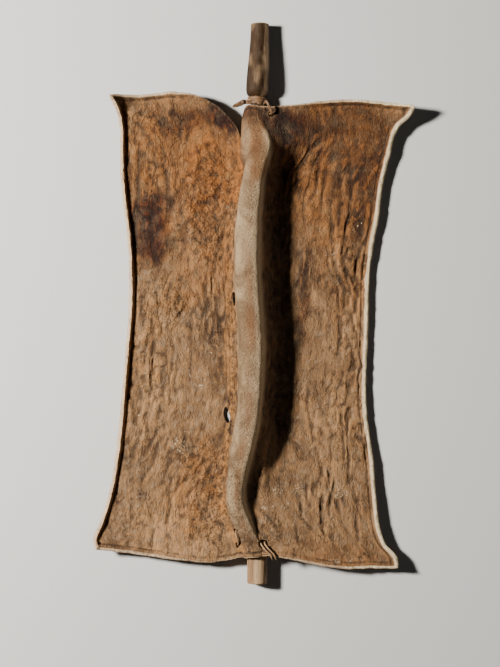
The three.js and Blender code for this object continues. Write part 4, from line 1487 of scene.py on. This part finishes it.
def thong_parts(points, first_side, seed, taper=(0.3, 0.3), twist=0.0, width=THONG_WIDTH):
    path = smooth_path(points)
    tangent, side, face = path_frames(path, first_side)
    along = np.concatenate([[0], np.cumsum(np.linalg.norm(np.diff(path, axis=0), axis=1))])
    print("strip", round(along[-1]), "mm long")
    turn, across, thick = strip_profile()
    share = along / along[-1]
    roll = twist * (share - 0.5) + 0.3 * noise(along / 9, along * 0, seed)
    wide = side * np.cos(roll)[:, None] + face * np.sin(roll)[:, None]
    deep = face * np.cos(roll)[:, None] - side * np.sin(roll)[:, None]
    start = lerp(taper[0], 1, smoothstep(along, 0, 2.5))
    finish = lerp(taper[1], 1, smoothstep(along[-1] - along, 0, 5))
    size = (start * finish)[:, None]
    l, t = np.meshgrid(along, turn, indexing="ij")
    ragged = 1 + 0.16 * rough(l / 3.2, np.cos(t) * 1.5 + 9, seed + 3, 3)
    line = np.abs(rough(np.cos(t) * 4 + 20, l / 14, seed + 7, 2))
    crease = CREASE_DEPTH * np.clip(1 - line / 0.35, 0, 1)
    half_width = (width / 2 * across[None] * size * ragged)[..., None]
    half_thick = (THONG_THICKNESS / 2 * thick[None] * size * (0.92 - crease))[..., None]
    rows = path[:, None] + wide[:, None] * half_width + deep[:, None] * half_thick
    edge = np.abs(across)[None] ** 4 * np.ones_like(rows[..., 0])
    return rows, edge, crease / CREASE_DEPTH


# %% Mesh of the thongs
def thong_mesh(name, strips):
    vertices, faces, edges, grooves, start = [], [], [], [], 0
    for rows, edge, groove in strips:
        faces += tube_faces(*edge.shape, start)
        vertices += [rows.reshape(-1, 3), rows[:1].mean(axis=1), rows[-1:].mean(axis=1)]
        edges += [edge.ravel(), [1, 1]]
        grooves += [groove.ravel(), [0, 0]]
        start += edge.size + 2
    mesh = new_mesh(name, np.concatenate(vertices), faces)
    add_field(mesh, "cut_edge", np.concatenate(edges))
    add_field(mesh, "hollow_shade", np.concatenate(grooves))
    return mesh



# %% [markdown]
# Above the hide the thong goes three times round the neck of the stave, dives through its hole
# beside the pole and comes back behind. Its end is knotted on the left and left as a stub.

# %% Top lashing
def around_stave(y, turn, slack):
    reach = stave_radius(y) + THONG_REACH + slack
    x, z = stave_x(y) + reach * np.cos(turn), stave_axis_z(y) + reach * np.sin(turn)
    return np.stack([x, y, z], -1)


def round_neck(y, start, end, count, slack):
    return around_stave(np.full(count, float(y)), 2 * np.pi * np.linspace(start, end, count), slack)


def coil(y, turns, pitch, seed):
    turn = np.linspace(0, 2 * np.pi * turns, COIL_POINTS * turns)
    place = y + pitch * (turn / (2 * np.pi) - 0.5) + 0.25 * noise(turn * 1.1, turn * 0, seed)
    return around_stave(place, turn, COIL_SLACK)


def sheet_height(x, y):
    s = (y - HIDE_FOOT) / HIDE_LENGTH
    u = np.linspace(1, len(COLUMNS) - 2, 900)
    row = sheet_points(u, np.full_like(u, s))
    return row[np.abs(row[:, 0] - x).argmin(), 2]


def over_sheet(x, y):
    return sheet_height(x, y) + HALF + THONG_REACH


def under_sheet(x, y):
    return sheet_height(x, y) - HALF - THONG_REACH


def widths(count):
    return count * THONG_WIDTH


# %% Mesh of the top lashing
def top_lashing_mesh():
    first_turn = TOP_NECK[0] + widths(1)
    hole_x, hole_y = TOP_HOLE_PLACE[0], float(along_hide(TOP_HOLE_PLACE[1]))
    over, under = over_sheet(hole_x, hole_y), under_sheet(hole_x, hole_y)
    right = float(stave_x(first_turn) + stave_radius(first_turn)) + THONG_REACH
    neck_left = float(stave_x(first_turn) - stave_radius(first_turn))
    beside = float(stave_axis_z(first_turn))
    loop = [
        *round_neck(first_turn, 0.24, 0.12, 3, widths(0.2)),
        (right + widths(0.25), first_turn - widths(0.5), over + widths(1.2)),
        (hole_x, hole_y + widths(1.2), over + widths(1)),
        (hole_x, hole_y, (over + under) / 2),
        (right + widths(0.25), hole_y + widths(1), under - widths(1.2)),
        (right + widths(0.4), first_turn - widths(0.75), beside - widths(1)),
        *round_neck(first_turn, -0.04, -0.12, 2, widths(0.2)),
    ]
    knot_y = first_turn + TOP_TURN_PITCH
    stub = [
        *round_neck(knot_y, 0.34, 0.46, 4, widths(0.35)),
        (neck_left - widths(2.5), knot_y, beside + widths(0.5)),
        (neck_left - widths(4.75), first_turn - widths(0.25), beside + widths(1)),
        (neck_left - widths(6.75), first_turn - widths(1.25), beside + widths(1.75)),
    ]
    middle = np.array([neck_left - widths(2.75), knot_y, beside + widths(0.5)])
    around = 2 * np.pi * np.linspace(0, 1.6, 26)[:, None]
    way = np.hstack([1.2 * np.sin(around * 0.5 + 0.4), 2.9 * np.cos(around), 3.3 * np.sin(around)])
    wraps = coil(knot_y, LASH_TURNS, TOP_TURN_PITCH, 601)
    return thong_mesh("top_lashing_thong", [
        thong_parts(wraps, (0, 1, 0), 611, taper=(0.7, 0.7), width=0.98 * THONG_WIDTH),
        thong_parts(loop, (0, 1, 0), 631, taper=(0.8, 0.8)),
        thong_parts(stub, (0, 1, 0), 651, taper=(0.6, 0.6), twist=1.0, width=1.9 * THONG_WIDTH),
        thong_parts(middle + way, (1, 0, 0), 671, taper=(0.6, 0.6), width=0.95 * THONG_WIDTH),
    ])


top_lashing = add_piece("top_lashing_thong", top_lashing_mesh(), "thong", "top_lashing")

# %% [markdown]
# Below, one thong holds the neck to a stitch beside it, and a second one comes up through the big
# hole as two strands that run over the bottom flange and end loose.

# %% Bottom lashing
def lower_edge(x):
    s = np.zeros(600)
    row = sheet_points(np.linspace(1, len(COLUMNS) - 2, 600), s)
    return row[np.abs(row[:, 0] - x).argmin(), 1]


def bottom_lashing_mesh():
    y = BOTTOM_NECK[0]
    (upper_x, upper_s), (lower_x, lower_s) = STITCH_PLACES
    upper_y, lower_y = float(along_hide(upper_s)), float(along_hide(lower_s))
    hole_right = BOTTOM_HOLE_PLACE[0] + widths(0.75)
    hole_y = float(along_hide(BOTTOM_HOLE_PLACE[1]))
    above_y, below_y = lower_y + widths(1.5), upper_y - widths(1.2)
    edge_y = lower_edge(hole_right)
    stitch = [
        *round_neck(y, 0.06, -0.54, 12, widths(0.15)),
        (upper_x + widths(1), upper_y - widths(0.5), under_sheet(upper_x, upper_y) - widths(1.25)),
        (upper_x, upper_y, sheet_height(upper_x, upper_y)),
        (upper_x - widths(0.3), below_y, over_sheet(upper_x, below_y) + widths(1)),
        (lower_x, above_y, over_sheet(lower_x, above_y) + widths(0.85)),
        (lower_x, lower_y, sheet_height(lower_x, lower_y)),
        (lower_x + widths(1.5), lower_y + widths(0.5), under_sheet(lower_x, lower_y) - widths(1.5)),
    ]
    strips = [thong_parts(stitch, (0, 1, 0), 701, taper=(0.7, 0.5))]
    for i, (aside, drift) in enumerate([(0, 0), (widths(-1.5), widths(0.6))]):
        start_x = hole_right + aside
        end_height = over_sheet(start_x + widths(3.5), edge_y + widths(0.75))
        strand = [
            *round_neck(y + drift, -0.3, 0.06, 9, widths(0.15)),
            (start_x, hole_y + drift / 2, sheet_height(start_x, hole_y)),
            (start_x + widths(1.25), hole_y - widths(1.75),
             over_sheet(start_x + widths(1.5), hole_y - widths(2)) + widths(0.75)),
            (start_x + widths(3.5), edge_y + widths(0.75), end_height + widths(0.75)),
            (start_x + widths(4.5), edge_y - widths(1.5), end_height + widths(0.25)),
        ]
        strips.append(thong_parts(strand, (0, 1, 0), 721 + 20 * i, taper=(0.7, 0.4), twist=0.8))
    return thong_mesh("bottom_lashing_thong", strips)


bottom_lashing = add_piece("bottom_lashing_thong", bottom_lashing_mesh(), "thong", "bottom_lashing")

# %% [markdown]
# Thongs are darker than the sheet where they are greasy, and pale where their edges are rubbed.
# The lower one is fresher and lighter than the upper one, so the finish is made twice with its
# own colours.

# %% Thong finish
def thong_material(name, dark, middle, pale):
    material, tree, shader = new_material(name)
    grain = use_group(tree, FIBRE_GRAIN, Scale=700.0, Stretch=1.6)
    dust = use_group(tree, DUST, Amount=0.45, Scale=140.0)
    rubbed = use_group(tree, RUBBED_EDGES, Low=0.56, High=0.66, Scale=300.0)
    surface = mix_colour(tree, between_values(tree, grain["Coarse"], 0.3, 0.7), dark, middle)
    surface = coats(tree, surface, [
        # Painted shade in the creases of the strip.
        (mask_of(tree, "hollow_shade"), 0.6, srgb(36, 22, 12)),
        (mask_of(tree, "cut_edge"), 0.6, pale),
        (rubbed["Rubbed"], 0.5, pale),
        (dust["Dust"], 0.4, DUSTY),
    ])
    dress(tree, shader, surface, 0.66, grain["Fine"], 0.6, 0.5 * MM)
    return material


put_on(top_lashing, thong_material(
    "greasy_thong", srgb(58, 38, 22), srgb(122, 86, 54), srgb(176, 138, 96)))
put_on(bottom_lashing, thong_material(
    "fresh_thong", srgb(78, 52, 30), srgb(132, 96, 62), srgb(186, 150, 108)))

# %% [markdown]
# The stage is a pale floor and three soft lights. The key light is low on the left, as in the
# photograph, so that the ridge throws its long shadow to the right. The fill is weak, and a narrow
# light from the right picks out the turned rim and that side of the ridge. A sky picture could
# light it too, but then the shadow would have no clear edge.

# %% Floor and lights
FLOOR_REACH = 16
FLOOR_LEVEL = -0.0005
FLOOR_COLOUR = (0.62, 0.61, 0.59, 1)
WORLD_LIGHT = 0.008


def look_from(light, place):
    light.location = place
    light.rotation_euler = (-Vector(place)).to_track_quat("-Z", "Y").to_euler()


def add_area_light(name, place, size, power, colour=(1, 1, 1)):
    data = bpy.data.lights.new(name, "AREA")
    data.size = size
    data.energy = power
    data.color = colour
    light = bpy.data.objects.new(name, data)
    look_from(light, place)
    bpy.context.collection.objects.link(light)
    print(name, "light of", power, "W")


def add_floor():
    mesh = bpy.data.meshes.new("floor")
    corners = [(-1, -1), (1, -1), (1, 1), (-1, 1)]
    corners = [(FLOOR_REACH * x, FLOOR_REACH * y, FLOOR_LEVEL) for x, y in corners]
    mesh.from_pydata(corners, [], [(0, 1, 2, 3)])
    floor = bpy.data.objects.new("floor", mesh)
    bpy.context.collection.objects.link(floor)
    material = bpy.data.materials.new("pale_floor")
    material.use_nodes = True
    shader = material.node_tree.nodes["Principled BSDF"]
    shader.inputs["Base Color"].default_value = FLOOR_COLOUR
    shader.inputs["Roughness"].default_value = 0.9
    mesh.materials.append(material)


add_floor()
add_area_light("key", (-2.0, 0.45, 1.9), 0.35, 225, (1, 0.97, 0.92))
add_area_light("fill", (0.8, -0.6, 2.6), 2.0, 1.3)
add_area_light("rim", (2.2, 0.3, 0.17), 0.3, 5)
world = bpy.data.worlds.new("studio")
world.use_nodes = True
world.node_tree.nodes["Background"].inputs[0].default_value = (1, 1, 1, 1)
world.node_tree.nodes["Background"].inputs[1].default_value = WORLD_LIGHT
bpy.context.scene.world = world
